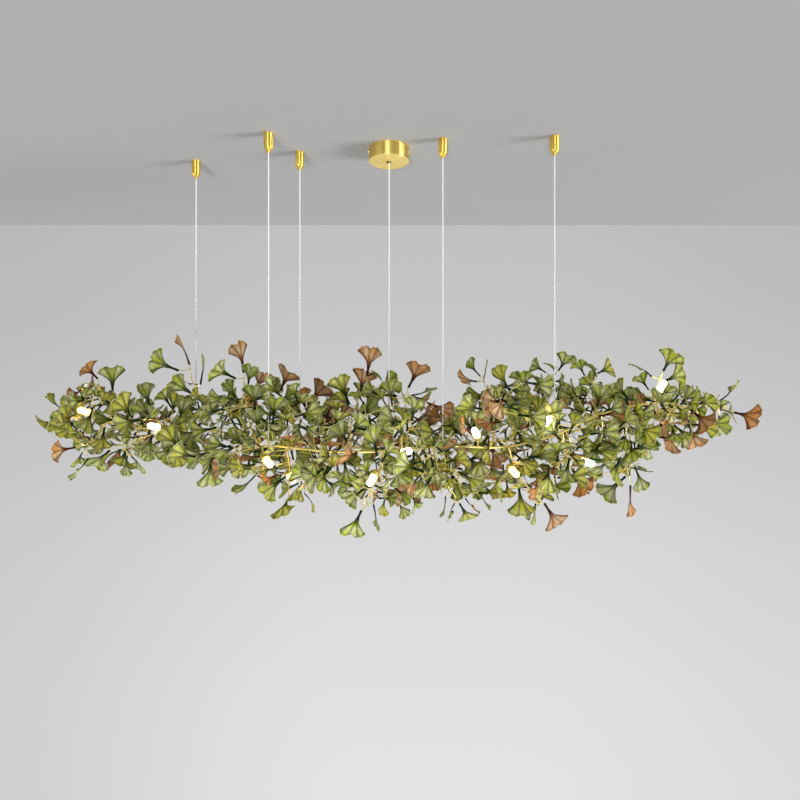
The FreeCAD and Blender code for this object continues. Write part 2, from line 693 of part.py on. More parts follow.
def fan_corners(size, mould):
    """The rim of a leaf's fan from right to left, in the leaf's own frame, and its middle."""
    cup, curl, twist = mould
    half, long, start = BLADE_HALF_WIDTH * size, BLADE * size, PETIOLE * size
    top = PETIOLE_DEPTH * size / 3
    root = PETIOLE_WIDTH / 2 / BLADE_HALF_WIDTH
    right = [(root, 0.0)] + list(FAN_SHARES)
    outline = right + [(-u, v) for u, v in reversed(right)]

    def lifted(u, v):
        lift = cup * u * u * v + curl * v * v + twist * u * v
        return Vector(u * half, start + v * long, top + half * lift)

    return [lifted(u, v) for u, v in outline], lifted(0.0, MIDDLE_SHARE)


def leaf_solid(size, mould):
    """A leaf: a three-sided petiole along +Y from the origin, its keel running on under a thin fan."""
    rim, middle = fan_corners(size, mould)
    wide, deep = PETIOLE_WIDTH * size / 2, PETIOLE_DEPTH * size
    end = [Vector(wide, 0, deep / 3), Vector(-wide, 0, deep / 3), Vector(0, 0, -2 * deep / 3)]
    over = middle + UP * (BLADE_THICKNESS * size / 2)
    under = middle - UP * (BLADE_THICKNESS * size / 2)
    faces = [(over, a, b) for a, b in zip(rim, rim[1:] + rim[:1])]
    faces += [(under, b, a) for a, b in zip(rim, rim[1:])]
    faces += [
        (end[0], rim[0], rim[-1], end[1]), (end[1], rim[-1], end[2]), (rim[-1], under, end[2]),
        (end[2], under, rim[0]), (end[2], rim[0], end[0]), tuple(end),
    ]
    return closed_solid(faces)


def leaf_points(size, mould):
    """Points over a leaf's fan and petiole, for keeping leaves apart."""
    rim, middle = fan_corners(size, mould)
    points = dotted(Vector(), Vector(0, PETIOLE * size, 0), SAMPLE_STEP / 2)
    for a, b in zip(rim, rim[1:]):
        steps = max(int(max((a - middle).Length, (b - middle).Length, (a - b).Length) / SAMPLE_STEP), 1)
        for i in range(steps + 1):
            for j in range(steps + 1 - i):
                points.append(middle + (a - middle) * (i / steps) + (b - middle) * (j / steps))
    return points


class Leaf:
    """A leaf's size and mould, and where it grows: petiole end, the way it points, the way it faces."""

    def __init__(self, end, along, facing, size, mould):
        self.end, self.size, self.mould = end, size, mould
        self.along = unit(along)
        self.facing = unit(facing - self.along * facing.dot(self.along))
        across = self.along.cross(self.facing)
        self.place = FreeCAD.Placement(FreeCAD.Matrix(
            across.x, self.along.x, self.facing.x, end.x,
            across.y, self.along.y, self.facing.y, end.y,
            across.z, self.along.z, self.facing.z, end.z,
            0, 0, 0, 1))

    def solid(self, moulds):
        key = (self.size, self.mould)
        if key not in moulds:
            moulds[key] = leaf_solid(LEAF_SIZE_SHARES[self.size], MOULD_SHARES[self.mould])
        shape = moulds[key].copy()
        shape.Placement = self.place
        return shape

    def points(self, samples):
        key = (self.size, self.mould)
        if key not in samples:
            samples[key] = leaf_points(LEAF_SIZE_SHARES[self.size], MOULD_SHARES[self.mould])
        return [self.place.multVec(p) for p in samples[key]]


class Branch:
    """The whole branch: stems, twigs, leaves, bulbs and what hangs it, built up in order."""

    def __init__(self):
        self.dice = random.Random(SEED)
        self.room = Room()
        self.moulds, self.samples = {}, {}
        self.runs, self.bodies, self.leaves = [], [], []
        self.solids = {}
        self.long_stems = {}

    def put(self, node, solids):
        self.solids.setdefault(node, []).extend(solids)

    def keep_clear(self, runs):
        self.runs += runs
        for run in runs:
            self.room.add(dotted(run.a, run.b), run.room)

    def spray(self, point):
        """Which spray a point belongs to, from 1 at the left."""
        left, right = CLOUD_PX[0][0], CLOUD_PX[-1][0]
        share = (pixel(point)[0] - left) / (right - left)
        return min(max(int(share * SPRAYS), 0), SPRAYS - 1) + 1

    def long_stem(self, node, table):
        points = [spot(x, y, share * CLOUD_HALF_DEPTH) for x, y, share in table]
        solid, runs = stem(points, STEM_D, STEM_SIDES)
        self.put(node, [solid])
        self.keep_clear(runs)
        self.long_stems[node] = runs

    def on_stem(self, node, x_px):
        """The run of a long stem that passes a picture x, and the point there."""
        runs = self.long_stems[node]
        def past_end(run):
            left, right = pixel(run.a)[0], pixel(run.b)[0]
            return abs(pixel((run.a + run.b) * 0.5)[0] - x_px) - abs(right - left) / 2

        run = min(runs, key=past_end)
        low, high = pixel(run.a)[0], pixel(run.b)[0]
        return run, run.at((x_px - low) / (high - low) * run.length)

    def bridges(self):
        """Straight rods that tie the two long stems together."""
        for rear_px, front_px in BRIDGES_PX:
            rear, a = self.on_stem("rear_stem", rear_px)
            front, b = self.on_stem("front_stem", front_px)
            way = unit(b - a)
            solid, runs = stem([a, b], SIDE_STEM_D, SIDE_STEM_SIDES, rear.flat_towards(way),
                               front.flat_towards(way * -1))
            self.put("stem_bridges", [solid])
            self.keep_clear(runs)

    def side_stems(self):
        for which, x_px, bends, share in SIDE_STEMS_PX:
            run, start = self.on_stem(which + "_stem", x_px)
            points = [start]
            for k, (x, y) in enumerate(bends):
                part = (k + 1) / len(bends)
                points.append(spot(x, y, start.y + (share * CLOUD_HALF_DEPTH - start.y) * part))
            solid, runs = stem(points, SIDE_STEM_D, SIDE_STEM_SIDES, run.flat_towards(unit(points[1] - start)))
            self.put("side_stems", [solid])
            self.keep_clear(runs)

    def hang(self):
        """A ferrule on the stems under each wire, and the junction barrel under the cable."""
        tops = []
        for place in gripper_places():
            tops.append(self.stand(place, ANCHOR_D, ANCHOR_H, "wire_ferrules"))
        cable = self.stand(Vector(), JUNCTION_D, JUNCTION_H, "junction_barrel")
        for place, top in zip(gripper_places() + [Vector()], tops + [cable]):
            foot = Vector(place.x, place.y, top)
            self.room.add(dotted(foot, foot + UP * (2 * CLOUD_HALF_DEPTH)), WIRE_D + TWIG_ROOM)
        return tops, cable

    def stand(self, place, diameter, height, node):
        """An upright barrel on whichever long stem passes under a place. Returns its top's height."""
        best = None
        for run in self.long_stems["rear_stem"] + self.long_stems["front_stem"]:
            flat_way = Vector(run.along.x, run.along.y, 0)
            share = (place - run.a).dot(flat_way) / flat_way.dot(run.along)
            point = run.at(share)
            miss = Vector(point.x - place.x, point.y - place.y, 0).Length
            if best is None or miss < best[0]:
                best = (miss, run, point)
        run, point = best[1], best[2]
        middle = Vector(place.x, place.y, point.z)
        top = point.z + STEM_D / 2 + height
        barrel = faceted(((0, 0), (diameter / 2, 0), (diameter / 2, top - point.z), (0, top - point.z)),
                         HOLDER_SIDES, middle)
        for long_stem in self.long_stems:
            barrel = barrel.cut(self.solids[long_stem][0])
        self.put(node, [max(barrel.Solids, key=lambda piece: piece.Volume)])
        self.bodies.append(Run(middle, Vector(place.x, place.y, top), [], diameter / 2 + TWIG_ROOM))
        self.room.add(dotted(middle, Vector(place.x, place.y, top)), diameter / 2 + TWIG_ROOM)
        return top

    def seat_on(self, end, along, room, stems_only=False, longest=LONGEST_TWIG):
        """The best place to braze a rod that reaches end from the side away from along."""
        choices = []
        for run in self.runs:
            if stems_only and run.room <= TWIG_D / 2 + TWIG_ROOM:
                continue
            near = (end - run.a).dot(run.along)
            middle = run.at(near)
            if (end - middle).Length > longest + run.length:
                continue
            for slide in SEAT_SLIDE_SHARES:
                start = run.at(near + slide * TWIG_START)
                reach = end - start
                if not SHORTEST_TWIG < reach.Length < longest:
                    continue
                way = unit(reach)
                lean = way.dot(along)
                if lean < LEAN_SHARE or run.flat_towards(way)[1].dot(way) < FLAT_LEAN_SHARE:
                    continue
                choices.append((reach.Length * (DETOUR_SHARE - lean), len(choices), run, start, way))
        for _, _, run, start, way in sorted(choices, key=lambda c: c[:2])[:6]:
            if self.twig_clear(run, start, end, room):
                return run, start, way
        return None

    def twig_clear(self, parent, start, end, room):
        """Whether a rod from start to end misses every other stem, twig, leaf and bulb."""
        if not self.room.clear(dotted(start, end, TWIG_START), room):
            return False
        flat_point, normal = parent.flat_towards(unit(end - start))
        leave = met([start], unit(end - start), (flat_point, normal))[0]
        trial = Run(leave, end, [], room)
        for run in self.runs + self.bodies:
            if run is not parent and apart(trial, run) < run.room + room - TWIG_ROOM:
                return False
        return True

    def twig(self, run, start, end, plane, diameter, sides, node):
        """Braze a rod on a run's flat and end it in a plane."""
        solid, runs = stem([start, end], diameter, sides, run.flat_towards(unit(end - start)), plane)
        self.put(node, [solid])
        self.keep_clear(runs)

    def bulbs(self):
        """Each bulb with its holder, on a rod from the nearest stem."""
        for x, y, share, way in BULBS_PX:
            along = unit(Vector(*way))
            for nudge in range(DEPTH_STEPS):
                depth = share * CLOUD_HALF_DEPTH + DEPTH_STEP * ((nudge + 1) // 2) * (-1) ** nudge
                middle = spot(x, y, depth)
                base = middle - along * (BULB_H / 2 + HOLDER_H - BULB_SEATING)
                seat = self.seat_on(base, along, SIDE_STEM_D / 2 + TWIG_ROOM, True)
                body = dotted(base, middle + along * BULB_H / 2)
                if seat and self.room.clear(body, BULB_ROOM):
                    break
            else:
                print("no room for the bulb at", x, y)
                continue
            run, start, _ = seat
            self.twig(run, start, base, (base, along), SIDE_STEM_D, SIDE_STEM_SIDES, "bulb_arms")
            self.put("bulb_holders", [bulb_holder(base, along)])
            self.put("holder_seats", [holder_seat(base, along)])
            self.put("bulbs", [bulb(base, along)])
            near_end, far_end = base + along * SHORTEST_TWIG / 2, middle + along * BULB_H / 2
            self.bodies.append(Run(near_end, far_end, [], BULB_ROOM))
            self.room.add(body, BULB_ROOM)

    def grow(self, leaf, node_stem, longest=LONGEST_TWIG):
        """Add a leaf on a twig if there is room for both. Says whether there was."""
        points = leaf.points(self.samples)
        if not self.room.clear(points, BLADE_ROOM):
            return False
        seat = self.seat_on(leaf.end, leaf.along, TWIG_D / 2 + TWIG_ROOM, False, longest)
        if seat is None:
            return False
        run, start, way = seat
        shaft = Run(start, leaf.end, [], TWIG_ROOM)
        if any(near(p, shaft, BLADE_ROOM + TWIG_ROOM) for p in points if (p - leaf.end).Length > PETIOLE / 2):
            return False
        spray = self.spray(leaf.end)
        self.twig(run, start, leaf.end, (leaf.end, leaf.along), TWIG_D, TWIG_SIDES, f"twigs_{spray}")
        self.put(f"{node_stem}_{spray}", [leaf.solid(self.moulds)])
        self.room.add(points, BLADE_ROOM)
        self.leaves.append(leaf)
        return True

    def read_leaves(self):
        """The leaves that stand out in the photograph, each at the first depth that has room."""
        rows = [("green_leaves", r) for r in GREEN_LEAVES_PX] + [("amber_leaves", r) for r in AMBER_LEAVES_PX]

        def from_stems(named):
            x, y = named[1][:2]
            point = spot(x, y, 0.0)
            return min((point - run.at((point - run.a).dot(run.along))).Length for run in stems)

        stems = list(self.runs)
        missed = 0
        for node_stem, (x0, y0, x1, y1, turn, size) in sorted(rows, key=from_stems):
            flat = spot(x0, y0, 0.0)
            near_run = min(stems, key=lambda r: (flat - r.at((flat - r.a).dot(r.along))).Length)
            depth = near_run.at((flat - near_run.a).dot(near_run.along)).y
            if in_cloud(spot(x1, y1, 0.0)):
                depth -= CLOUD_HALF_DEPTH / 3
            degrees = TURN_DEGREES[turn]
            side = self.dice.choice((-1, 1))
            tip_side = self.dice.choice((-1, 1))
            mould = self.dice.randrange(len(MOULD_SHARES))
            for nudge in range(DEPTH_STEPS):
                shift = DEPTH_STEP * ((nudge + 1) // 2) * (-1) ** nudge
                leaf = leaf_in_view(x0, y0, x1, y1, depth - shift, side * degrees, tip_side, size, mould)
                if abs(leaf.end.y) < CLOUD_HALF_DEPTH and self.grow(leaf, node_stem):
                    break
                leaf = leaf_in_view(x0, y0, x1, y1, depth - shift, -side * degrees, -tip_side, size, mould)
                if abs(leaf.end.y) < CLOUD_HALF_DEPTH and self.grow(leaf, node_stem):
                    break
            else:
                missed += 1
        print("leaves read from the picture:", len(self.leaves), "without room:", missed)

    def more_leaves(self):
        """Leaves that fill the mass of the cloud, each a short twig away from a run."""
        dice = self.dice
        for _ in range(TRIES):
            if len(self.leaves) >= LEAVES_IN_ALL:
                break
            run = dice.choice(self.runs)
            start = run.at(dice.random() * run.length)
            away = unit(Vector(dice.uniform(-1, 1), dice.uniform(-1, 1), dice.uniform(-1, 1)))
            end = start + away * dice.uniform(SHORTEST_TWIG, FILL_TWIG)
            bend = Vector(dice.uniform(-1, 1), dice.uniform(-1, 1), dice.uniform(-1, 1)) * WANDER_SHARE
            along = unit(away + bend)
            size = dice.choice(("big", "big", "mid", "mid", "small"))
            tip = end + along * ((PETIOLE + BLADE) * LEAF_SIZE_SHARES[size])
            if not (in_cloud(end) and in_cloud(tip)):
                continue
            stray = Vector(dice.uniform(-1, 1), dice.uniform(-1, 1), dice.uniform(-1, 1)) * FACING_SHARE
            outward = unit(EYE - end) + stray
            leaf = Leaf(end, along, outward * dice.choice((-1, 1)), size, dice.randrange(len(MOULD_SHARES)))
            node_stem = "amber_leaves" if dice.random() < AMBER_SHARE else "green_leaves"
            self.grow(leaf, node_stem, FILL_TWIG)
        print("leaves in all:", len(self.leaves))


def near(point, run, distance):
    """Whether a point is nearer to a run's axis than a distance."""
    share = min(max((point - run.a).dot(run.along), 0.0), run.length)
    return (point - (run.a + run.along * share)).Length < distance


def leaf_in_view(x0, y0, x1, y1, depth, turn, tip_side, size, mould):
    """A leaf that shows its petiole end and its rim at two pixels of the photograph."""
    end = spot(x0, y0, depth)
    to_eye = unit(EYE - end)
    shown = spot(x1, y1, depth) - end
    shown = shown - to_eye * shown.dot(to_eye)
    reach = (PETIOLE + BLADE * SHOWN_SHARE) * LEAF_SIZE_SHARES[size]
    share = min(shown.Length / reach, 1.0)
    along = unit(shown) * share + to_eye * (tip_side * math.sqrt(1 - share * share))
    along = unit(along)
    facing = unit(to_eye - along * to_eye.dot(along)) if abs(to_eye.dot(along)) < 0.99 else UP
    turned = FreeCAD.Rotation(along, turn).multVec(facing)
    return Leaf(end, along, turned, size, mould)


def bulb_holder(base, along):
    """A brass cup behind a bulb, open towards it."""
    inner = HOLDER_D / 2 - HOLDER_WALL
    return faceted(((0, 0), (HOLDER_D / 2, 0), (HOLDER_D / 2, HOLDER_H), (inner, HOLDER_H),
                    (inner, HOLDER_WALL), (0, HOLDER_WALL)), HOLDER_SIDES, base, along)


def holder_seat(base, along):
    """The ceramic seat on the cup's floor that takes the bulb's pins."""
    radius = HOLDER_D / 2 - HOLDER_WALL - FIT
    return faceted(((0, HOLDER_WALL), (radius, HOLDER_WALL), (radius, HOLDER_WALL + HOLDER_SEAT_H),
                    (0, HOLDER_WALL + HOLDER_SEAT_H)), HOLDER_SIDES, base, along)


def bulb(base, along):
    """A small capsule bulb that stands on its seat, with a crowned end."""
    low = HOLDER_WALL + HOLDER_SEAT_H
    high = BULB_H + HOLDER_H - BULB_SEATING
    radius = BULB_D / 2
    return faceted(((0, low), (radius, low), (radius, high - BULB_CROWN_H), (radius / 2, high), (0, high)),
                   HOLDER_SIDES, base, along)


def taut_cord(place, top, low, diameter):
    """A wire or cable pulled straight down from its top to what it meets."""
    return rod(diameter, top - low, Vector(place.x, place.y, low), UP)


def save(node, solids):
    shape = solids[0] if len(solids) == 1 else Part.makeCompound(solids)
    shape.exportStep(f"parts/{node}.step")


def build():
    os.makedirs("parts", exist_ok=True)
    for make in (canopy_cup, canopy_bracket, terminal_block, cable_gland, gland_nut):
        save(make.__name__, [make()])
    for make in (canopy_side_screws, terminal_sleeves):
        save(make.__name__, make())
    places = gripper_places()
    save("gripper_barrels", [gripper_barrel(p) for p in places])
    save("gripper_caps", [gripper_cap(p) for p in places])
    for number, place in enumerate(places, 1):
        save(f"plunger_{number}", [plunger(place)])
        save(f"plunger_spring_{number}", [gripper_spring(place)])
        save(f"locking_balls_{number}", locking_balls(place))

    branch = Branch()
    branch.long_stem("rear_stem", REAR_STEM_PX)
    branch.long_stem("front_stem", FRONT_STEM_PX)
    wire_ends, cable_end = branch.hang()
    branch.bridges()
    branch.side_stems()
    branch.bulbs()
    branch.read_leaves()
    branch.more_leaves()
    for node, solids in branch.solids.items():
        save(node, solids)
    for number, (place, low) in enumerate(zip(places, wire_ends), 1):
        save(f"suspension_wire_{number}", [taut_cord(place, wire_top(), low, WIRE_D)])
        print(f"suspension wire {number}: at {place.x:.2f} {place.y:.2f}, from {wire_top():.2f} to {low:.2f}")
    save("feed_cable", [taut_cord(Vector(), cable_top(), cable_end, CABLE_D)])
    print(f"feed cable: from {cable_top():.2f} to {cable_end:.2f}")


build()
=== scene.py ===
import math
import random

import bmesh
import bpy
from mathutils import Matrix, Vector
from mathutils.kdtree import KDTree


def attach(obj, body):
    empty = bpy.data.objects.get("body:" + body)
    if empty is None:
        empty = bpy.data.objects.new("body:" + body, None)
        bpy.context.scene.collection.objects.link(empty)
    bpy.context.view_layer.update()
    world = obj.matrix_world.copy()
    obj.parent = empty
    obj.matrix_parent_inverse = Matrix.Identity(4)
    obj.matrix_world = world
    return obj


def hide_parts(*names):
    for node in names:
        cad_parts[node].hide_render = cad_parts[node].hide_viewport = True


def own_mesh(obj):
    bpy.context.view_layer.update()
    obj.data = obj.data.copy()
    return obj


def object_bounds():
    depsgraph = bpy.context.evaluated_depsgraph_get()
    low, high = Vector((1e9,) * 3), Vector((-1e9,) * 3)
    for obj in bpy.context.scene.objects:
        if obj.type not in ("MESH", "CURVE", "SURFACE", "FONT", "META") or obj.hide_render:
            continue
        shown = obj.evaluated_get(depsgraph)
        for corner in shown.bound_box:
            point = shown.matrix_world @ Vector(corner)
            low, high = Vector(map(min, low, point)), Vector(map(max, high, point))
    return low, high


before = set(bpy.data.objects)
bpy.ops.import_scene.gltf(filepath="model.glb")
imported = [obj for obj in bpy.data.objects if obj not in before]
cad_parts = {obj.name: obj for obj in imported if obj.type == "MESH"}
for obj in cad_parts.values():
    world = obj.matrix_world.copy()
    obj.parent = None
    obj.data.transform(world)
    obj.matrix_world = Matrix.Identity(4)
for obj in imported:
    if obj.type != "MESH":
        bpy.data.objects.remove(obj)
cad_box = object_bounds()

MM = 0.001
UP = Vector((0, 0, 1))
TURN = 2 * math.pi
SPRAYS = range(1, 7)
GRIPPERS = range(1, 6)

# The viewer of the photograph, the picture's width and focal length in pixels, and the sensor's width
EYE = Vector((0.0287, -1.491, -0.628))
PICTURE_PX, FOCAL_PX, SENSOR_MM = 800, 598.0, 36.0

# The route of each suspension wire and of the feed cable, top to bottom
WIRE_D = 2.4 * MM
CABLE_D = 3.4 * MM
RAISED = 0.3
ROUTES = {
    "suspension_wire_1": ((-0.5077, 0.078), (-0.015, -0.09, -0.24, -0.42, -0.58, -0.68258)),
    "suspension_wire_2": ((-0.28139, -0.086), (-0.015, -0.09, -0.25, -0.44, -0.61, -0.71559)),
    "suspension_wire_3": ((-0.22589, 0.021), (-0.015, -0.09, -0.25, -0.44, -0.61, -0.71504)),
    "suspension_wire_4": ((0.13035, -0.054), (-0.015, -0.09, -0.25, -0.44, -0.61, -0.7194)),
    "suspension_wire_5": ((0.39551, -0.068), (-0.015, -0.09, -0.24, -0.42, -0.59, -0.69326)),
    "feed_cable": ((0.0, 0.0), (-0.0185, -0.1, -0.26, -0.44, -0.61, -0.71687)),
}


# Shapes


class Shape:
    """Corners and faces gathered for one piece, with three shares at each corner for its finish."""

    def __init__(self):
        self.corners, self.faces, self.shares = [], [], []

    def rings(self, rings, shares=None, cap_start=True, cap_end=True):
        """Join rings of corners into a skin."""
        first, count = len(self.corners), len(rings[0])
        for k, ring in enumerate(rings):
            self.corners += ring
            self.shares += shares[k] if shares else [(0.0, k / (len(rings) - 1), 0.0)] * count
        for k in range(len(rings) - 1):
            low, high = first + k * count, first + (k + 1) * count
            for i in range(count):
                j = (i + 1) % count
                self.faces.append((low + i, low + j, high + j, high + i))
        if cap_start:
            self.faces.append(tuple(range(first + count - 1, first - 1, -1)))
        if cap_end:
            self.faces.append(tuple(range(first + (len(rings) - 1) * count, first + len(rings) * count)))

    def lathe(self, profile, place=Vector(), axis=UP, sides=40, tone=0.0, closed=False):
        """Turn a profile of radius and height, in millimetres, about an axis."""
        side = axis.orthogonal().normalized()
        other = axis.cross(side)
        rings = [circle(place + axis * (height * MM), side, other, radius * MM, sides)
                 for radius, height in profile]
        shares = [[(k / sides, n / len(rings), tone) for k in range(sides)] for n in range(len(rings))]
        if closed:
            rings.append(rings[0])
            shares.append(shares[0])
        self.rings(rings, shares, cap_start=not closed, cap_end=not closed)

    def tube(self, points, radii, sides):
        """A round bar along a line of points, its radius given at each point."""
        ways = [(b - a).normalized() for a, b in zip(points, points[1:])]
        ways = [ways[0]] + [(a + b).normalized() for a, b in zip(ways, ways[1:])] + [ways[-1]]
        side = ways[0].orthogonal().normalized()
        rings = []
        for point, way, radius in zip(points, ways, radii):
            side = (side - way * side.dot(way)).normalized()
            rings.append(circle(point, side, way.cross(side), radius, sides))
        far = [0.0]
        for a, b in zip(points, points[1:]):
            far.append(far[-1] + (b - a).length)
        self.rings(rings, [[(k / sides, f, 0.0) for k in range(sides)] for f in far])

    def piece(self, name, slot, body, node, sharp=40):
        """Make the piece that takes the place of a CAD node, on its body."""
        mesh = bpy.data.meshes.new(name)
        low, high = cad_box
        kept = [tuple(min(max(c[k], low[k]), high[k]) for k in range(3)) for c in self.corners]
        mesh.from_pydata(kept, [], self.faces)
        mesh.polygons.foreach_set("use_smooth", [True] * len(mesh.polygons))
        mesh.set_sharp_from_angle(angle=math.radians(sharp))
        marks = mesh.attributes.new("shares", "FLOAT_VECTOR", "POINT")
        marks.data.foreach_set("vector", [value for row in self.shares for value in row])
        mesh.materials.append(FINISH[slot])
        made = placed(name, mesh)
        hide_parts(node)
        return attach(made, body)


def placed(name, data):
    """A new object in the scene."""
    made = bpy.data.objects.new(name, data)
    bpy.context.scene.collection.objects.link(made)
    return made


def circle(middle, side, other, radius, sides):
    """A ring of corners round a point."""
    angles = [TURN * k / sides for k in range(sides)]
    return [middle + (side * math.cos(a) + other * math.sin(a)) * radius for a in angles]


def bent(start, pull, end, steps):
    """A line of points from start to end, bent towards a third point."""
    line = []
    for k in range(steps + 1):
        t = k / steps
        line.append(start * (1 - t) ** 2 + pull * (2 * t * (1 - t)) + end * t ** 2)
    return line


def brazed(line, depth_mm):
    """A line whose foot goes a little way into the bar that carries it."""
    return [line[0] - (line[1] - line[0]).normalized() * depth_mm * MM] + line[1:]


def solids_of(node):
    """Each separate solid of a CAD node, as its corners and its triangles."""
    whole = bmesh.new()
    whole.from_mesh(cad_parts[node].data)
    bmesh.ops.remove_doubles(whole, verts=whole.verts, dist=0.02 * MM)
    whole.verts.index_update()
    seen, found = set(), []
    for first in whole.verts:
        if first.index in seen:
            continue
        group, place = [first], {first.index: 0}
        for corner in group:
            for edge in corner.link_edges:
                other = edge.other_vert(corner)
                if other.index not in place:
                    place[other.index] = len(group)
                    group.append(other)
        seen.update(place)
        faces = {face.index: [place[v.index] for v in face.verts] for v in group for face in v.link_faces}
        found.append(([v.co.copy() for v in group], [faces[k] for k in sorted(faces)]))
    whole.free()
    return found


def edges_of(faces):
    return sorted({tuple(sorted(pair)) for face in faces for pair in zip(face, face[1:] + face[:1])})


def middle_of(points):
    return sum(points, Vector()) / len(points)


def box_of(points):
    return Vector(map(min, *points)), Vector(map(max, *points))


def rods_of(node, is_end):
    """The axis of each straight rod of a CAD node, from its brazed foot to its end."""
    rods = []
    for corners, faces in solids_of(node):
        edges = edges_of(faces)
        for a, b in edges:
            way = (corners[b] - corners[a]).normalized()
            along = [(p, q) for p, q in edges
                     if abs((corners[q] - corners[p]).normalized().dot(way)) > 0.99995]
            if len(along) * 2 == len(corners) and len({k for pair in along for k in pair}) == len(corners):
                low = [min(pair, key=lambda k: corners[k].dot(way)) for pair in along]
                high = [max(pair, key=lambda k: corners[k].dot(way)) for pair in along]
                foot, end = [corners[k] for k in low], [corners[k] for k in high]
                if is_end(middle_of(foot)) < is_end(middle_of(end)):
                    foot, end = end, foot
                rods.append((foot, end))
                break
        else:
            raise ValueError("no axis found in " + node)
    return rods


def bends_of(node, gap):
    """The axis of each bent stem of a CAD node, as the middles of its rings of corners.

    Corners nearer to each other than the gap are of one ring.
    """
    stems = []
    for corners, faces in solids_of(node):
        ring = list(range(len(corners)))
        for a, b in edges_of(faces):
            if (corners[a] - corners[b]).length < gap:
                keep, drop = ring[a], ring[b]
                ring = [keep if k == drop else k for k in ring]
        names = sorted(set(ring))
        middles = {n: middle_of([c for c, k in zip(corners, ring) if k == n]) for n in names}
        joined = {n: set() for n in names}
        for a, b in edges_of(faces):
            if ring[a] != ring[b]:
                joined[ring[a]].add(ring[b])
                joined[ring[b]].add(ring[a])
        at = min((n for n in names if len(joined[n]) == 1), key=lambda n: middles[n].x)
        walk = [at]
        while len(walk) < len(names):
            walk.append(next(n for n in sorted(joined[walk[-1]]) if n not in walk))
        stems.append([middles[n] for n in walk])
    return stems


def eased(points, reach):
    """A line with its corners rounded within a reach of each, its straight runs kept."""
    line = [points[0]]
    for before, corner, after in zip(points, points[1:], points[2:]):
        back, on = before - corner, after - corner
        start = corner + back.normalized() * min(reach, back.length * 0.45)
        end = corner + on.normalized() * min(reach, on.length * 0.45)
        line += bent(start, corner, end, 5)
    return line + [points[-1]]


# Finishes


class Level:
    """A varying value in a finish, on which sums can be written."""

    def __init__(self, finish, socket):
        self.finish, self.socket = finish, socket

    def sum(self, operation, *values):
        """A sum on values in their order, this one among them."""
        return self.finish.node("Math", {"operation": operation}, dict(enumerate(values)))

    def __add__(self, other):
        return self.sum("ADD", self, other)

    def __radd__(self, other):
        return self.sum("ADD", other, self)

    def __sub__(self, other):
        return self.sum("SUBTRACT", self, other)

    def __rsub__(self, other):
        return self.sum("SUBTRACT", other, self)

    def __mul__(self, other):
        return self.sum("MULTIPLY", self, other)

    def wave(self):
        """The sine of the value."""
        return self.sum("SINE", self)

    def most(self, other):
        """The larger of two values."""
        return self.sum("MAXIMUM", self, other)

    def other(self, name):
        """Another output of the same node."""
        return Level(self.finish, self.socket.node.outputs[name])

    def within(self, low, high):
        """A smooth step from 0 at low to 1 at high."""
        return self.finish.node("MapRange", {"interpolation_type": "SMOOTHSTEP"},
                                {"Value": self, "From Min": low, "From Max": high})


class Finish:
    """A material under construction."""

    def __init__(self, name, world=None):
        self.made = world or bpy.data.materials.new(name)
        self.made.use_nodes = True
        self.tree = self.made.node_tree
        self.tree.nodes.clear()

    def node(self, kind, settings, sockets, output=0):
        """Add a shader node: its settings first, then the values or links of its sockets."""
        made = self.tree.nodes.new("ShaderNode" + kind)
        for name, value in settings.items():
            if name == "stops":
                ramp = made.color_ramp.elements
                while len(ramp) < len(value):
                    ramp.new(0.5)
                for stop, (position, colour) in zip(ramp, value):
                    stop.position, stop.color = position, (*colour, 1)
            else:
                setattr(made, name, value)
        for name, value in sockets.items():
            if isinstance(value, Level):
                self.tree.links.new(value.socket, made.inputs[name])
            else:
                made.inputs[name].default_value = opaque(value)
        return Level(self, made.outputs[output])

    def place(self):
        """Where a point of the piece is, in metres."""
        return self.node("TexCoord", {}, {}, "Object")

    def split(self, vector):
        """The x of a vector, with its y and z as the other outputs."""
        return self.node("SeparateXYZ", {}, {"Vector": vector}, "X")

    def shares(self):
        """The three shares kept at each corner, as x, y and z."""
        return self.split(self.node("Attribute", {"attribute_name": "shares"}, {}, "Vector"))

    def lay(self, strands, turns_per_metre):
        """The hills and dips of strands that turn about a cord."""
        around = self.shares()
        return ((around + around.other("Y") * turns_per_metre) * (strands * TURN)).wave()

    def speckle(self, scale, detail=2.0, rough=0.5):
        """A cloudy pattern, finer with scale."""
        return self.node("TexNoise", {}, {"Vector": self.place(), "Scale": scale, "Detail": detail,
                                                    "Roughness": rough}, "Fac")

    def mixed(self, factor, first, second):
        """One colour turning into another."""
        return self.node("Mix", {"data_type": "RGBA"}, {0: factor, 6: first, 7: second}, 2)

    def bump(self, height, distance):
        """Small hills and dips in the surface, their height in metres."""
        return self.node("Bump", {}, {"Height": height, "Distance": distance, "Strength": 1.0})

    def surface(self, sockets):
        """The main shader."""
        return self.node("BsdfPrincipled", {}, sockets)

    def done(self, shader):
        """Join the shader to the output."""
        kind = "World" if isinstance(self.made, bpy.types.World) else "Material"
        end = self.tree.nodes.new("ShaderNodeOutput" + kind)
        self.tree.links.new(shader.socket, end.inputs["Surface"])
        return self.made


def opaque(value):
    """A colour of three parts with its full alpha, and any other value as it is."""
    return (*value, 1) if isinstance(value, tuple) and len(value) == 3 else value


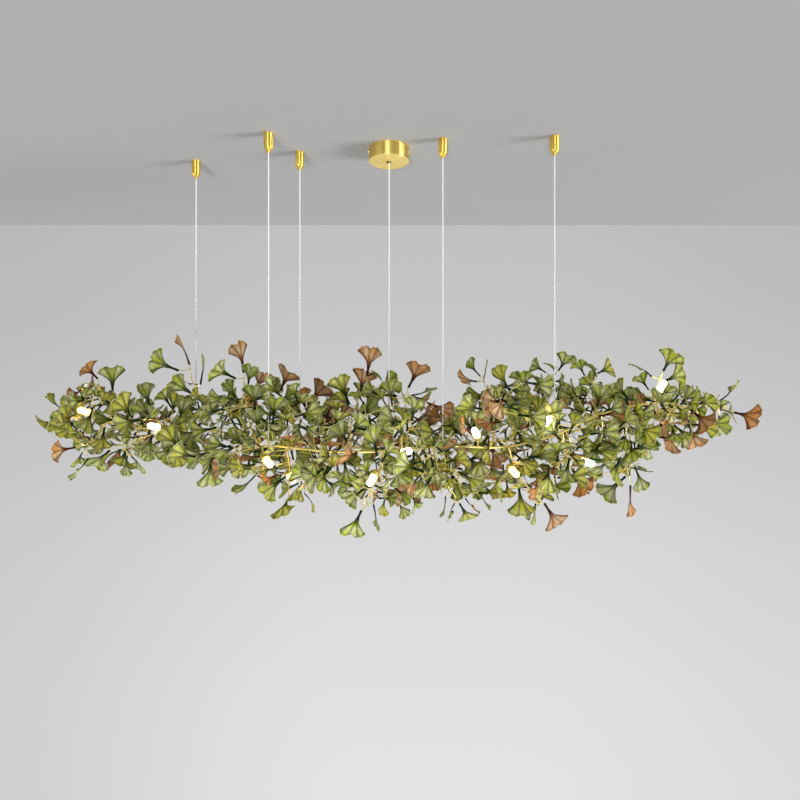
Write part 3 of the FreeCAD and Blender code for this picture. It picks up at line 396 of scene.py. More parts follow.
def brass(name, bright, dull, rough, fine=700.0, turned=0.0, metal=1.0):
    """Brass with a slow change of tone, fine rub marks, and dulling in patches."""
    f = Finish(name)
    patches = f.speckle(38.0, 3.0)
    marks = f.speckle(fine, 2.0, 0.6)
    colour = f.mixed(patches.within(0.35, 0.75), bright, dull)
    roughness = rough + patches.within(0.4, 0.8) * (0.5 * rough) + (marks - 0.5) * (0.5 * rough)
    return f.done(f.surface({"Base Color": colour, "Metallic": metal, "Roughness": roughness,
                             "Anisotropic": turned, "Anisotropic Rotation": 0.25,
                             "Normal": f.bump(marks, 0.00004)}))


def canopy_brass(bright, dull, under):
    """Turned brass, bright round the side and satin on the flat bottom."""
    f = Finish("polished_brass")
    patches = f.speckle(38.0, 3.0)
    marks = f.speckle(1500.0, 2.0, 0.6)
    normal = f.node("NewGeometry", {}, {}, "Normal")
    flat = (f.split(normal).other("Z") * -1.0).within(0.6, 0.95)
    colour = f.mixed(flat, f.mixed(patches.within(0.35, 0.75), bright, dull), under)
    return f.done(f.surface({"Base Color": colour, "Metallic": 1 - flat * 0.62,
                             "Roughness": 0.34 + marks * 0.05, "Anisotropic": 0.97,
                             "Anisotropic Rotation": 0.25, "Normal": f.bump(marks, 0.00004)}))


def steel(name, bright, dull, rough):
    """Plated steel with a faint grain and spots of duller plating."""
    f = Finish(name)
    spots = f.speckle(160.0, 3.0)
    grain = f.speckle(1400.0, 2.0, 0.7)
    return f.done(f.surface({"Base Color": f.mixed(spots.within(0.4, 0.7), bright, dull), "Metallic": 1.0,
                             "Roughness": rough + spots * 0.12, "Normal": f.bump(grain, 0.00005)}))


def wire_finish():
    """A white coated wire rope, its strands just showing through the coat."""
    f = Finish("coated_wire")
    lay = f.lay(strands=6, turns_per_metre=90.0)
    cloud = f.speckle(60.0)
    colour = f.mixed(lay.within(-1.0, 0.4), (0.84, 0.84, 0.84), (0.96, 0.96, 0.96))
    return f.done(f.surface({"Base Color": colour, "Roughness": 0.34 + cloud * 0.12,
                             "Normal": f.bump(lay, 0.00002)}))


def cable_finish():
    """A clear sheath over pale cores."""
    f = Finish("clear_sheath")
    lay = f.lay(strands=3, turns_per_metre=14.0)
    colour = f.mixed(lay.within(-0.7, 0.5), (0.72, 0.71, 0.67), (0.90, 0.90, 0.87))
    return f.done(f.surface({"Base Color": colour, "Roughness": 0.12 + f.speckle(90.0) * 0.08,
                             "Coat Weight": 0.6, "Coat Roughness": 0.06}))


def plain_finish(name, light, dark, rough, scale, bump_mm):
    """Moulded plastic or ceramic with a fine skin."""
    f = Finish(name)
    cloud = f.speckle(scale, 3.0)
    skin = f.speckle(scale * 12, 2.0, 0.6)
    return f.done(f.surface({"Base Color": f.mixed(cloud.within(0.3, 0.7), light, dark),
                             "Roughness": rough + cloud * 0.1, "Normal": f.bump(skin, bump_mm * MM)}))


def leaf_finish(name, blade, pale, aged, inner_tint_and_shade, deep, lip, through):
    """Cast glass: a deep petiole and edges, a clearer fan that darkens to its root, and pale raised veins,
    with painted shade in its folds and painted highlights in pale patches and along its rim.
    """
    f = Finish(name)
    across = f.shares()
    along, tone = across.other("Y"), across.other("Z")
    side = across.sum("ABSOLUTE", across)
    veins = (across * 40.0 + tone * 9.0).wave().within(0.45, 1.0)
    # Painted shade: dark streaks across the fan where its folds would lie in shade; the same streaks give the
    # folds' bumps and dim the translucency.
    shaded_folds = (across * 9.0 + tone * 25.0).wave().within(-0.3, 1.0)
    cloud = f.speckle(60.0, 3.0)
    # Pale patches: uneven tone of the glass, made brighter to act as painted highlights.
    fan = f.mixed(cloud.within(0.42, 0.57), blade, pale)
    fan = f.mixed(tone.within(0.5, 1.0) * 0.75, fan, aged)
    # Painted shade: the fan darkens in its folds.
    fan = f.mixed(shaded_folds * 0.8, fan, inner_tint_and_shade)
    fan = f.mixed((1 - tone.within(0.05, 0.35)) * 0.45, fan, inner_tint_and_shade)
    fan = f.mixed(veins * along.within(0.2, 0.5) * 0.7, fan, pale)
    root = 1 - along.within(0.10, 0.62)
    stalk = 1 - along.within(-0.06, 0.24)
    edges = side.within(0.66, 0.97) * (1 - along.within(0.5, 1.0) * 0.5)
    rim = along.within(0.88, 0.95) * (1 - along.within(0.965, 1.0))
    thick = stalk.most(edges * 0.85)
    colour = f.mixed(rim * 0.5, f.mixed(thick, f.mixed(root * 0.9, fan, inner_tint_and_shade), deep), lip)
    # Painted highlight: a pale outline along the very rim.
    colour = f.mixed(along.within(0.975, 1.0) * 0.85, colour, pale)
    shell = f.surface({"Base Color": colour, "Roughness": 0.16 + cloud * 0.14, "Specular IOR Level": 0.1,
                       "Coat Weight": 0.07, "Coat Roughness": 0.03,
                       "Normal": f.bump(cloud * 0.5 + veins * 0.8 - shaded_folds * 0.8, 0.0014)})
    glow = f.node("BsdfTranslucent", {}, {"Color": through})
    # The painted fold shade also takes away some translucency.
    clear = (1 - thick * 0.85) * (1 - shaded_folds * 0.45)
    return f.done(f.node("MixShader", {}, {"Fac": clear * 0.42, 1: shell, 2: glow}))


def bulb_finish():
    """A small lit capsule: white hot in the middle, warmer at its foot and in some of them all over."""
    f = Finish("lit_capsule")
    around = f.shares()
    along, tone = around.other("Y"), around.other("Z")
    frost = f.speckle(420.0, 2.0)
    colour = f.mixed(tone, f.mixed(1 - along.within(0.05, 0.45), (1.0, 0.93, 0.78), (1.0, 0.72, 0.36)),
                     (1.0, 0.50, 0.035))
    return f.done(f.surface({"Base Color": (0.95, 0.93, 0.86), "Roughness": 0.12 + frost * 0.1,
                             "Emission Color": colour, "Emission Strength": 12.0, "Coat Weight": 0.3}))


FINISH = {
    "polished_brass": canopy_brass((0.96, 0.71, 0.20), (0.90, 0.63, 0.16), under=(1.0, 0.77, 0.23)),
    "satin_brass": brass("satin_brass", (0.98, 0.70, 0.16), (0.94, 0.63, 0.12), 0.43, 1200.0, turned=0.97),
    "branch_brass": brass("branch_brass", (1.0, 0.86, 0.30), (0.74, 0.56, 0.12), 0.26, metal=0.72),
    "dark_brass": brass("dark_brass", (0.26, 0.20, 0.09), (0.16, 0.12, 0.06), 0.38),
    "plain_brass": brass("plain_brass", (0.74, 0.57, 0.28), (0.62, 0.46, 0.20), 0.28, 900.0),
    "zinc_steel": steel("zinc_steel", (0.72, 0.73, 0.74), (0.52, 0.53, 0.55), 0.30),
    "spring_steel": steel("spring_steel", (0.50, 0.51, 0.53), (0.36, 0.37, 0.39), 0.26),
    "ball_steel": steel("ball_steel", (0.82, 0.83, 0.84), (0.74, 0.75, 0.76), 0.06),
    "wire_steel": wire_finish(),
    "clear_cable": cable_finish(),
    "terminal_plastic": plain_finish("terminal_plastic", (0.86, 0.86, 0.82), (0.78, 0.78, 0.73), 0.42,
                                     scale=120.0, bump_mm=0.05),
    "seat_ceramic": plain_finish("seat_ceramic", (0.86, 0.84, 0.79), (0.78, 0.75, 0.69), 0.5,
                                 scale=200.0, bump_mm=0.08),
    "bulb_glass": bulb_finish(),
    "leaf_green": leaf_finish("leaf_green", blade=(0.62, 0.73, 0.030), pale=(1.0, 1.0, 0.58),
                              aged=(0.94, 0.80, 0.026), inner_tint_and_shade=(0.026, 0.048, 0.001),
                              deep=(0.001, 0.020, 0.005), lip=(0.022, 0.028, 0.001),
                              through=(0.70, 0.78, 0.06)),
    "leaf_amber": leaf_finish("leaf_amber", blade=(0.90, 0.44, 0.11), pale=(1.0, 0.82, 0.50),
                              aged=(0.84, 0.39, 0.07), inner_tint_and_shade=(0.14, 0.032, 0.004),
                              deep=(0.04, 0.003, 0.004), lip=(0.10, 0.016, 0.003),
                              through=(0.80, 0.42, 0.12)),
}


# Camera and cords

lens = bpy.data.cameras.new("viewer")
lens.lens, lens.sensor_width = FOCAL_PX * SENSOR_MM / PICTURE_PX, SENSOR_MM
lens.shift_x, lens.shift_y = -0.5 / PICTURE_PX, 0.5 / PICTURE_PX
viewer = placed("viewer", lens)
viewer.location, viewer.rotation_euler = EYE, (math.pi / 2, 0, 0)
bpy.context.scene.camera = viewer


def smooth_line(name, points):
    """The points of a route's NURBS spline."""
    curve = bpy.data.curves.new(name, "CURVE")
    curve.dimensions = "3D"
    spline = curve.splines.new("NURBS")
    spline.points.add(len(points) - 1)
    for control, point in zip(spline.points, points):
        control.co = (*point, 1)
    spline.order_u, spline.use_endpoint_u = 3, True
    carrier = bpy.data.objects.new(name, curve)
    line = bpy.data.meshes.new_from_object(carrier)
    found = [corner.co.copy() for corner in line.vertices]
    bpy.data.objects.remove(carrier)
    bpy.data.curves.remove(curve)
    bpy.data.meshes.remove(line)
    return found


def taut_cord(node, slot, diameter):
    """A wire or cable pulled straight between its grip and the branch."""
    (x, y), heights = ROUTES[node]
    line = smooth_line(node + "_line", [Vector((x, y, z)) for z in heights])
    shape = Shape()
    shape.tube(line, [diameter / 2] * len(line), 14)
    made = shape.piece(node + "_cord", slot, "ceiling_set", node)
    length = heights[0] - heights[-1]
    (length - RAISED) / length
    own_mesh(made)


for n in GRIPPERS:
    taut_cord(f"suspension_wire_{n}", "wire_steel", WIRE_D)
taut_cord("feed_cable", "clear_cable", CABLE_D)


# Canopy


def canopy():
    """The cup with its groove near the ceiling, and the cross-shaped gland nut under it."""
    cup = Shape()
    cup.lathe(((48.8, 0.0), (48.8, -31.8), (0.5, -31.8), (0.5, -33.0), (47.6, -33.0), (48.7, -32.85),
               (49.5, -32.4), (49.9, -31.6), (50.0, -30.6), (50.0, -2.2), (49.75, -1.9), (49.0, -1.8),
               (49.0, -1.1), (49.75, -1.0), (50.0, -0.7), (50.0, -0.15), (49.85, 0.0)),
              sides=128, closed=True)
    cup.piece("canopy_shell", "polished_brass", "ceiling_set", "canopy_cup", sharp=30)
    gland = Shape()
    waist, lobe, sides = 4.4, 2.5, 48
    rings = []
    for reach, height in ((0.70, -33.0), (0.98, -33.25), (1.0, -33.7), (1.0, -35.2), (0.93, -35.8),
                          (0.45, -36.0)):
        ring = []
        for k in range(sides):
            angle = TURN * k / sides
            cross = waist + lobe * abs(math.cos(2 * angle)) ** 1.5
            outward = Vector((math.cos(angle), math.sin(angle), 0))
            ring.append(outward * (cross * reach * MM) + UP * (height * MM))
        rings.append(ring)
    gland.rings(rings, cap_end=False)
    gland.lathe(((1.9, -35.9), (3.0, -36.0), (3.9, -33.0), (3.9, -24.6), (1.9, -24.6)), sides=24, closed=True)
    gland.piece("cross_gland", "dark_brass", "ceiling_set", "cable_gland")


canopy()

# CAD nodes whose own shape is right get their finish
for node, slot in (("canopy_bracket", "zinc_steel"), ("gland_nut", "zinc_steel"),
                   ("gripper_caps", "zinc_steel"), ("terminal_block", "terminal_plastic"),
                   ("terminal_sleeves", "plain_brass"), ("canopy_side_screws", "polished_brass")):
    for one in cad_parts[node].material_slots:
        one.material = FINISH[slot]


# Grippers


def grippers():
    """Five turned barrels, and in each one its plunger, locking balls and spring."""
    barrels = Shape()
    for n in GRIPPERS:
        place = Vector((*ROUTES[f"suspension_wire_{n}"][0], 0))
        barrels.lathe(((10.6, 0.0), (11.0, -0.5), (11.0, -34.4), (10.7, -35.2), (5.3, -41.6), (4.8, -42.0),
                       (3.4, -42.0), (3.4, -35.0), (7.5, -35.0), (7.5, 0.0)), place, sides=56, closed=True)
        gripper_plunger(n, place)
        gripper_balls(n)
        gripper_spring(n, place)
    barrels.piece("gripper_shells", "satin_brass", "ceiling_set", "gripper_barrels", sharp=30)


def gripper_plunger(n, place):
    push = Shape()
    push.lathe(((1.45, -45.5), (2.7, -45.5), (3.2, -45.0), (3.2, -34.7), (5.5, -34.7), (5.5, -32.5),
                (1.45, -32.5)), place, sides=32, closed=True)
    push.piece(f"gripper_{n}_plunger", "satin_brass", f"gripper_plunger_{n}", f"plunger_{n}")


def gripper_balls(n):
    """Three round balls, each at the middle of its solid."""
    radius, steps = 1.3, 12
    angles = [math.pi * k / steps for k in range(1, steps)]
    arc = [(radius * math.sin(a), -radius * math.cos(a)) for a in angles]
    balls = Shape()
    for corners, _ in solids_of(f"locking_balls_{n}"):
        balls.lathe(arc, middle_of(box_of(corners)), sides=20)
    balls.piece(f"gripper_{n}_balls", "ball_steel", f"gripper_plunger_{n}", f"locking_balls_{n}")


def gripper_spring(n, place):
    """A wound spring between the plunger's flange and the cap."""
    turns, steps = 6.5, 24
    radius, wire_radius, low, rise = 4.95, 0.5, -31.7, 21.8  # in millimetres
    line = []
    for k in range(int(turns * steps) + 1):
        angle = TURN * k / steps
        line.append(place + Vector((radius * math.cos(angle), radius * math.sin(angle),
                                    low + rise * k / (turns * steps))) * MM)
    coil = Shape()
    coil.tube(line, [wire_radius * MM] * len(line), 8)
    spring = coil.piece(f"gripper_{n}_spring", "spring_steel", "ceiling_set", f"plunger_spring_{n}")
    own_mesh(spring)


grippers()


# Stems

LONG_RADIUS, SIDE_RADIUS = 3.25 * MM, 2.1 * MM


def stems():
    """Long stems, the rods between them and the side stems, as bent round bars."""
    lines = []
    for node in ("rear_stem", "front_stem"):
        shape = Shape()
        for points in bends_of(node, gap=0.0045):
            lines.append(points)
            line = eased(points, reach=0.045)
            last = len(line) - 1
            swell = [min(1, 5 * k / last, 5 * (last - k) / last) for k in range(len(line))]
            shape.tube(line, [LONG_RADIUS * (0.72 + 0.28 * share) for share in swell], 16)
        shape.piece(node + "_bar", "branch_brass", "branch", node)
    for node, thinned in (("stem_bridges", 0.0), ("side_stems", 0.42)):
        shape = Shape()
        for points in bends_of(node, gap=0.005):
            if node == "side_stems" and to_long_stems(points[-1], lines) < to_long_stems(points[0], lines):
                points.reverse()
            lines.append(points)
            line = eased(points, reach=0.035)
            radii = [SIDE_RADIUS * (1 - thinned * k / (len(line) - 1)) for k in range(len(line))]
            radii[0] *= 1.35
            shape.tube(brazed(line, 1.2), radii, 12)
        shape.piece(node + "_bars", "branch_brass", "branch", node)
    return lines


def to_long_stems(point, lines):
    """How far a point is from the two long stems."""
    return min(distance(point, a, b) for line in lines[:2] for a, b in zip(line, line[1:]))


def distance(point, a, b):
    """How far a point is from the straight run between two others."""
    run = b - a
    share = min(max((point - a).dot(run) / run.dot(run), 0.0), 1.0)
    return (point - a - run * share).length


stem_lines = stems()


def fittings():
    """The barrel under each wire, and the one under the cable with its groove."""
    for node, radius in (("wire_ferrules", 3.0), ("junction_barrel", 7.0)):
        shape = Shape()
        for corners, _ in solids_of(node):
            low, high = box_of(corners)
            place = Vector(((low.x + high.x) / 2, (low.y + high.y) / 2, high.z))
            profile = [(radius * 0.5, 0.0), (radius * 0.82, -0.15), (radius * 0.97, -0.7), (radius, -1.4)]
            if node == "junction_barrel":
                profile += [(radius, -8.6), (radius * 0.93, -9.0), (radius * 0.93, -9.8), (radius, -10.2)]
            profile += [(radius, -(high.z - low.z) / MM)]
            shape.lathe(profile, place, sides=36)
        shape.piece(node + "_turned", "branch_brass", "branch", node)


fittings()


# Bulbs

# How warm each bulb glows, from left to right
WARM_BULBS = (0.95, 0.0, 0.85, 0.6, 0.0, 0.0, 0.1, 0.9, 0.05, 0.0, 0.0)


def bulbs():
    """Each bulb on its arm: a turned cup, a ceramic seat and a lit capsule with a rounded crown."""
    lit = [middle_of(corners) for corners, _ in solids_of("bulbs")]
    arms, cups, seats, capsules = Shape(), Shape(), Shape(), Shape()
    places = []
    for foot, end in rods_of("bulb_arms", lambda p: min((p - m).length for m in lit)):
        start, base = middle_of(foot), middle_of(end)
        along = (min(lit, key=lambda m: (m - base).length) - base).normalized()
        pull = (base - along * ((base - start).length * 0.4)).lerp((start + base) / 2, 0.55)
        arms.tube(brazed(bent(start, pull, base, 8), 1.2), [2.7 * MM] + [1.9 * MM] * 8, 12)
        cups.lathe(((2.2, -0.6), (5.2, 0.1), (8.4, 1.2), (9.4, 3.2), (9.5, 5.0), (9.5, 17.0), (9.2, 17.4),
                    (9.2, 18.2), (9.5, 18.6), (9.5, 19.6), (9.2, 20.0), (8.4, 20.0), (8.3, 1.4), (2.2, 1.3)),
                   base, along, 32, closed=True)
        seats.lathe(((0.6, 1.25), (8.0, 1.25), (8.0, 12.6), (7.5, 13.2), (5.8, 13.2), (5.6, 12.8),
                     (0.6, 12.8)), base, along, 28)
        places.append((base, along))
    crown = [(7.5 * math.cos(a), 43.0 + 7.0 * math.sin(a)) for a in (math.pi / 2 * k / 8 for k in range(8))]
    capsule = [(5.4, 13.2), (7.0, 14.2), (7.5, 15.8), (7.5, 30.0)] + crown + [(0.3, 50.0)]
    for (base, along), warm in zip(sorted(places, key=lambda place: place[0].x), WARM_BULBS):
        capsules.lathe(capsule, base, along, 28, warm)
    for shape, name, slot, node in ((arms, "bulb_arm_bars", "branch_brass", "bulb_arms"),
                                    (cups, "bulb_cups", "branch_brass", "bulb_holders"),
                                    (seats, "bulb_seats", "seat_ceramic", "holder_seats"),
                                    (capsules, "lit_capsules", "bulb_glass", "bulbs")):
        shape.piece(name, slot, "branch", node)
    return places


bulb_seats = bulbs()


# Leaves

KINDS = ("green", "amber")
SIZES = (1.0, 0.84, 0.66)
# A full leaf in millimetres: half its fan's width, the fan's and the petiole's length, and how far the fan's
# middle lies over the petiole's axis
HALF_WIDTH, BLADE, PETIOLE, BED = 34.0, 53.0, 26.0, 1.3
# The triangle at the petiole's cut end, in millimetres: its top and its two sides
CUT_TOP, CUT_SIDE = 5.2, 4.687
# Half of the rim, from the notch to the wing tip: ray, across, along
RIM = ((0.0, 0.0, 0.885), (0.04, 0.04, 0.915), (0.10, 0.115, 0.965), (0.2, 0.235, 0.99), (0.32, 0.37, 0.995),
       (0.46, 0.53, 0.975), (0.6, 0.68, 0.925), (0.74, 0.81, 0.855), (0.86, 0.91, 0.785), (0.94, 0.97, 0.72),
       (1.0, 1.0, 0.65))
RAYS = 24
RINGS = (0.0, 0.12, 0.27, 0.44, 0.62, 0.79, 0.92, 1.0)
# Where the solid leaf's middle and wing tips are, as shares of the fan's length
MIDDLE_SHARE, WING_SHARE = 0.58, 0.64
# The petiole as it runs out into the fan: along, half width, half depth
SPINE = ((-0.5, 1.6, 1.5), (0.0, 2.9, 2.4), (1.2, 3.3, 2.7), (6.0, 3.1, 2.5), (14.0, 2.9, 2.2),
         (20.0, 3.1, 2.05), (26.0, 4.0, 1.9), (31.0, 5.3, 1.6), (37.0, 5.8, 1.1), (45.0, 3.0, 0.6))


class Leaf:
    """A cast leaf: the start of its petiole, where it points and faces, its size, and how its fan is bent."""

    def __init__(self, origin, along, facing, size, bends=(0.0, 0.0, 0.0)):
        self.origin, self.along, self.facing, self.size = origin, along, facing, size
        self.across = along.cross(facing)
        self.cup, self.curl, self.twist = bends

    def at(self, x, y, z):
        """A place on the leaf, given in millimetres of a full leaf."""
        return self.origin + (self.across * x + self.along * y + self.facing * z) * (MM * self.size)

    def seen_from(self, point):
        """Where a point is on the leaf, in millimetres of a full leaf."""
        off = point - self.origin
        return Vector((off.dot(self.across), off.dot(self.along), off.dot(self.facing))) / (MM * self.size)

    def lift(self, u, v):
        return HALF_WIDTH * (self.cup * u * u * v + self.curl * v * v + self.twist * u * v)

    def samples(self):
        """Points over the leaf, for keeping it off its neighbours."""
        points = [self.origin + self.along * (y * MM * self.size) for y in (8, 14, 20, 26)]
        for r in (0.3, 0.5, 0.7, 0.85, 1.0):
            for k in range(-5, 6):
                u1, v1 = rim_at(k / 5)
                u, v = 0.11 * k / 5 * 2 * r * (1 - r) + u1 * r * r, 0.30 * 2 * r * (1 - r) + v1 * r * r
                points.append(self.at(u * HALF_WIDTH, PETIOLE + v * BLADE, self.lift(u, v) + BED))
        return points

    def cast(self, shape, dice):
        """Add the leaf to a piece: its fan with pleats and a scalloped rim, and its round petiole."""
        tone = dice.random()
        phase, ruffle, notch = dice.uniform(0, TURN), dice.uniform(1.2, 2.6), dice.uniform(0.75, 1.15)
        loops, marks = [], []
        for r in RINGS:
            half = 0.95 - 0.5 * min(r / 0.5, 1.0)
            if r == RINGS[-2]:
                half += 0.18
            elif r == RINGS[-1]:
                half *= 0.35
            upper, lower, row = [], [], []
            for k in range(RAYS + 1):
                ray = 2 * k / RAYS - 1
                u1, v1 = rim_at(ray)
                v1 -= (1 - v1) * (notch - 1) * 0.5 if abs(ray) < 0.25 else 0.0
                v1 -= 0.024 * (1 + math.sin(ray * 17 + phase)) * (1 - abs(ray) ** 6)
                u = 0.0765 * ray * (1 - r) ** 2 + 0.13 * ray * 2 * r * (1 - r) + u1 * r * r
                v = 0.35 * 2 * r * (1 - r) + v1 * r * r
                pleat = (0.34 if k % 2 else -0.2) * r * (1 - 0.5 * r)
                wave = ruffle * math.sin(ray * 6.5 + phase) * r ** 2
                middle = self.lift(u, v) + BED * min(1.0, v / 0.25) + pleat + wave
                upper.append(self.at(u * HALF_WIDTH, PETIOLE + v * BLADE, middle + half))
                lower.append(self.at(u * HALF_WIDTH, PETIOLE + v * BLADE, middle - half))
                row.append((ray, r, tone))
            loops.append(upper + lower[::-1])
            marks.append(row + row[::-1])
        shape.rings(loops, marks)
        self.cast_petiole(shape, tone)

    def cast_petiole(self, shape, tone):
        sides = 12
        rings, marks = [], []
        for y, wide, deep in SPINE:
            v = max(0.0, (y - PETIOLE) / BLADE)
            z = self.lift(0.0, v) + BED * min(1.0, v / 0.25)
            angles = [TURN * k / sides for k in range(sides)]
            rings.append([self.at(wide * math.cos(a), y, z + deep * math.sin(a)) for a in angles])
            marks.append([(0.0, (y - PETIOLE) / PETIOLE if y < PETIOLE else v * 0.9, tone)] * sides)
        shape.rings(rings, marks)


def rim_at(ray):
    """Where a ray meets the rim: across and along."""
    side = abs(ray)
    for (r0, u0, v0), (r1, u1, v1) in zip(RIM, RIM[1:]):
        if side <= r1:
            t = (side - r0) / (r1 - r0)
            return math.copysign(u0 + (u1 - u0) * t, ray), v0 + (v1 - v0) * t
    return math.copysign(1.0, ray), RIM[-1][2]


def cut_end(corners, faces):
    """The corners of the petiole's cut end, which one of them is the right one, and the leaf's size."""
    for face in faces:
        ends = [corners[k] for k in face]
        sides = sorted(((ends[k] - ends[k - 1]).length, k) for k in range(3))
        for size in SIZES:
            if all(abs(side - true * MM * size) < 0.05 * MM
                   for (side, _), true in zip(sides, (CUT_SIDE, CUT_SIDE, CUT_TOP))):
                return ends, sides[2][1], size
    raise ValueError("a leaf without a cut end")


def read_leaf(corners, faces):
    """A leaf of the solids, read from the cut end of its petiole, its wing tips and its middle."""
    ends, k, size = cut_end(corners, faces)
    right, left, under = ends[k], ends[k - 1], ends[k - 2]
    origin = middle_of(ends)
    facing = ((right + left) / 2 - under).normalized()
    along = facing.cross((right - left).normalized())
    if (middle_of(corners) - origin).dot(along) < 0:
        along = -along
    leaf = Leaf(origin, along, facing, size)
    local = [leaf.seen_from(corner) for corner in corners]
    right, left = max(local, key=lambda c: c.x), min(local, key=lambda c: c.x)
    middles = sorted(local, key=lambda c: abs(c.x) + abs(c.y - PETIOLE - MIDDLE_SHARE * BLADE))[:2]
    leaf.curl = (middle_of(middles).z - BED) / HALF_WIDTH / MIDDLE_SHARE ** 2
    leaf.cup = ((right.z + left.z) / 2 - BED) / HALF_WIDTH / WING_SHARE - leaf.curl * WING_SHARE
    leaf.twist = (right.z - left.z) / HALF_WIDTH / 2 / WING_SHARE
    return leaf


# Further leaves

ADDED, TRIES = 520, 70000
# How far a further leaf keeps from its neighbours, its stalk from theirs, and both from the box, in metres
LEAF_GAP, STALK_GAP, BOX_GAP = 0.0038, 0.003, 0.004
# How a further leaf is cupped, curled and twisted
BENDS = ((0.34, 0.12, 0.10), (0.5, -0.16, -0.12), (0.22, 0.42, 0.0), (0.38, 0.26, 0.24), (0.14, -0.34, -0.16))

# The mass of the spray in the photograph: pixel x, top y, bottom y
MASS_PX = ((55, 408, 430), (85, 386, 450), (120, 398, 462), (150, 404, 456), (185, 388, 460),
           (215, 398, 470), (245, 388, 474), (285, 380, 492), (320, 396, 490), (350, 388, 494),
           (385, 388, 500), (415, 390, 498), (445, 412, 484), (475, 398, 494), (500, 386, 492),
           (540, 378, 496), (590, 382, 482), (620, 392, 468), (650, 392, 448), (690, 390, 440),
           (730, 404, 422))


def pixel(p):
    """The pixel of the photograph at which a point shows."""
    near = FOCAL_PX / (p.y - EYE.y)
    return PICTURE_PX / 2 + (p.x - EYE.x) * near, PICTURE_PX / 2 - (p.z - EYE.z) * near


def in_mass(p):
    """Whether a point shows inside the mass of the spray."""
    x, y = pixel(p)
    for (x0, top0, low0), (x1, top1, low1) in zip(MASS_PX, MASS_PX[1:]):
        if x0 <= x <= x1:
            t = (x - x0) / (x1 - x0)
            return top0 + (top1 - top0) * t <= y <= low0 + (low1 - low0) * t
    return False


def in_box(points):
    low, high = cad_box
    return all(low[k] + BOX_GAP < p[k] < high[k] - BOX_GAP for p in points for k in range(3))


class Cover:
    """The parts of the picture that leaves already fill, in cells of a few pixels."""

    def __init__(self, cell=4.5):
        self.cell, self.full = cell, set()

    def cells(self, points):
        return {(int(x // self.cell), int(y // self.cell)) for x, y in map(pixel, points)}

    def add(self, points):
        self.full |= self.cells(points)

    def gain(self, points):
        """The share of a leaf that would show where nothing is yet."""
        cells = self.cells(points)
        return len(cells - self.full) / len(cells)


class Room:
    """What fills the branch, as points, for keeping further leaves off it."""

    def __init__(self, cell=0.012):
        self.cell, self.cells = cell, {}

    def key(self, p):
        return tuple(math.floor(c / self.cell) for c in p)

    def add(self, points):
        for p in points:
            self.cells.setdefault(self.key(p), []).append(p)

    def clear(self, points, gap):
        """Whether points keep a gap from all that is there."""
        for p in points:
            x, y, z = self.key(p)
            for cell in ((x + i, y + j, z + k) for i in (-1, 0, 1) for j in (-1, 0, 1) for k in (-1, 0, 1)):
                if any((q - p).length < gap for q in self.cells.get(cell, ())):
                    return False
        return True


def dots(a, b, step=0.006):
    """Points from one place to another, a step apart."""
    count = max(int((b - a).length / step), 1)
    return [a.lerp(b, k / count) for k in range(count + 1)]


def scatter(dice, spread):
    return Vector([dice.gauss(0, spread) for _ in range(3)])


def sprout(dice, runs, shoots):
    """Where a further twig starts, on a stem or a twig, and its leaf, or None outside the spray's mass."""
    a, b = dice.choice(runs) if dice.random() < 0.5 else dice.choice(shoots)
    start = a.lerp(b, dice.random())
    away = scatter(dice, 1).normalized()
    run = (b - a).normalized()
    away = (away - run * (0.6 * away.dot(run))).normalized()
    tip = start + away * dice.uniform(0.010, 0.08)
    along = (away + scatter(dice, 0.4)).normalized()
    look = (EYE - tip).normalized() + scatter(dice, 0.75)
    facing = (look - along * look.dot(along)).normalized() * dice.choice((-1, 1))
    size = dice.choice((SIZES[1], SIZES[1], SIZES[2]))
    if not in_mass(tip) or not in_mass(tip + along * (0.07 * size)):
        return None
    return start, Leaf(tip, along, facing, size, dice.choice(BENDS))


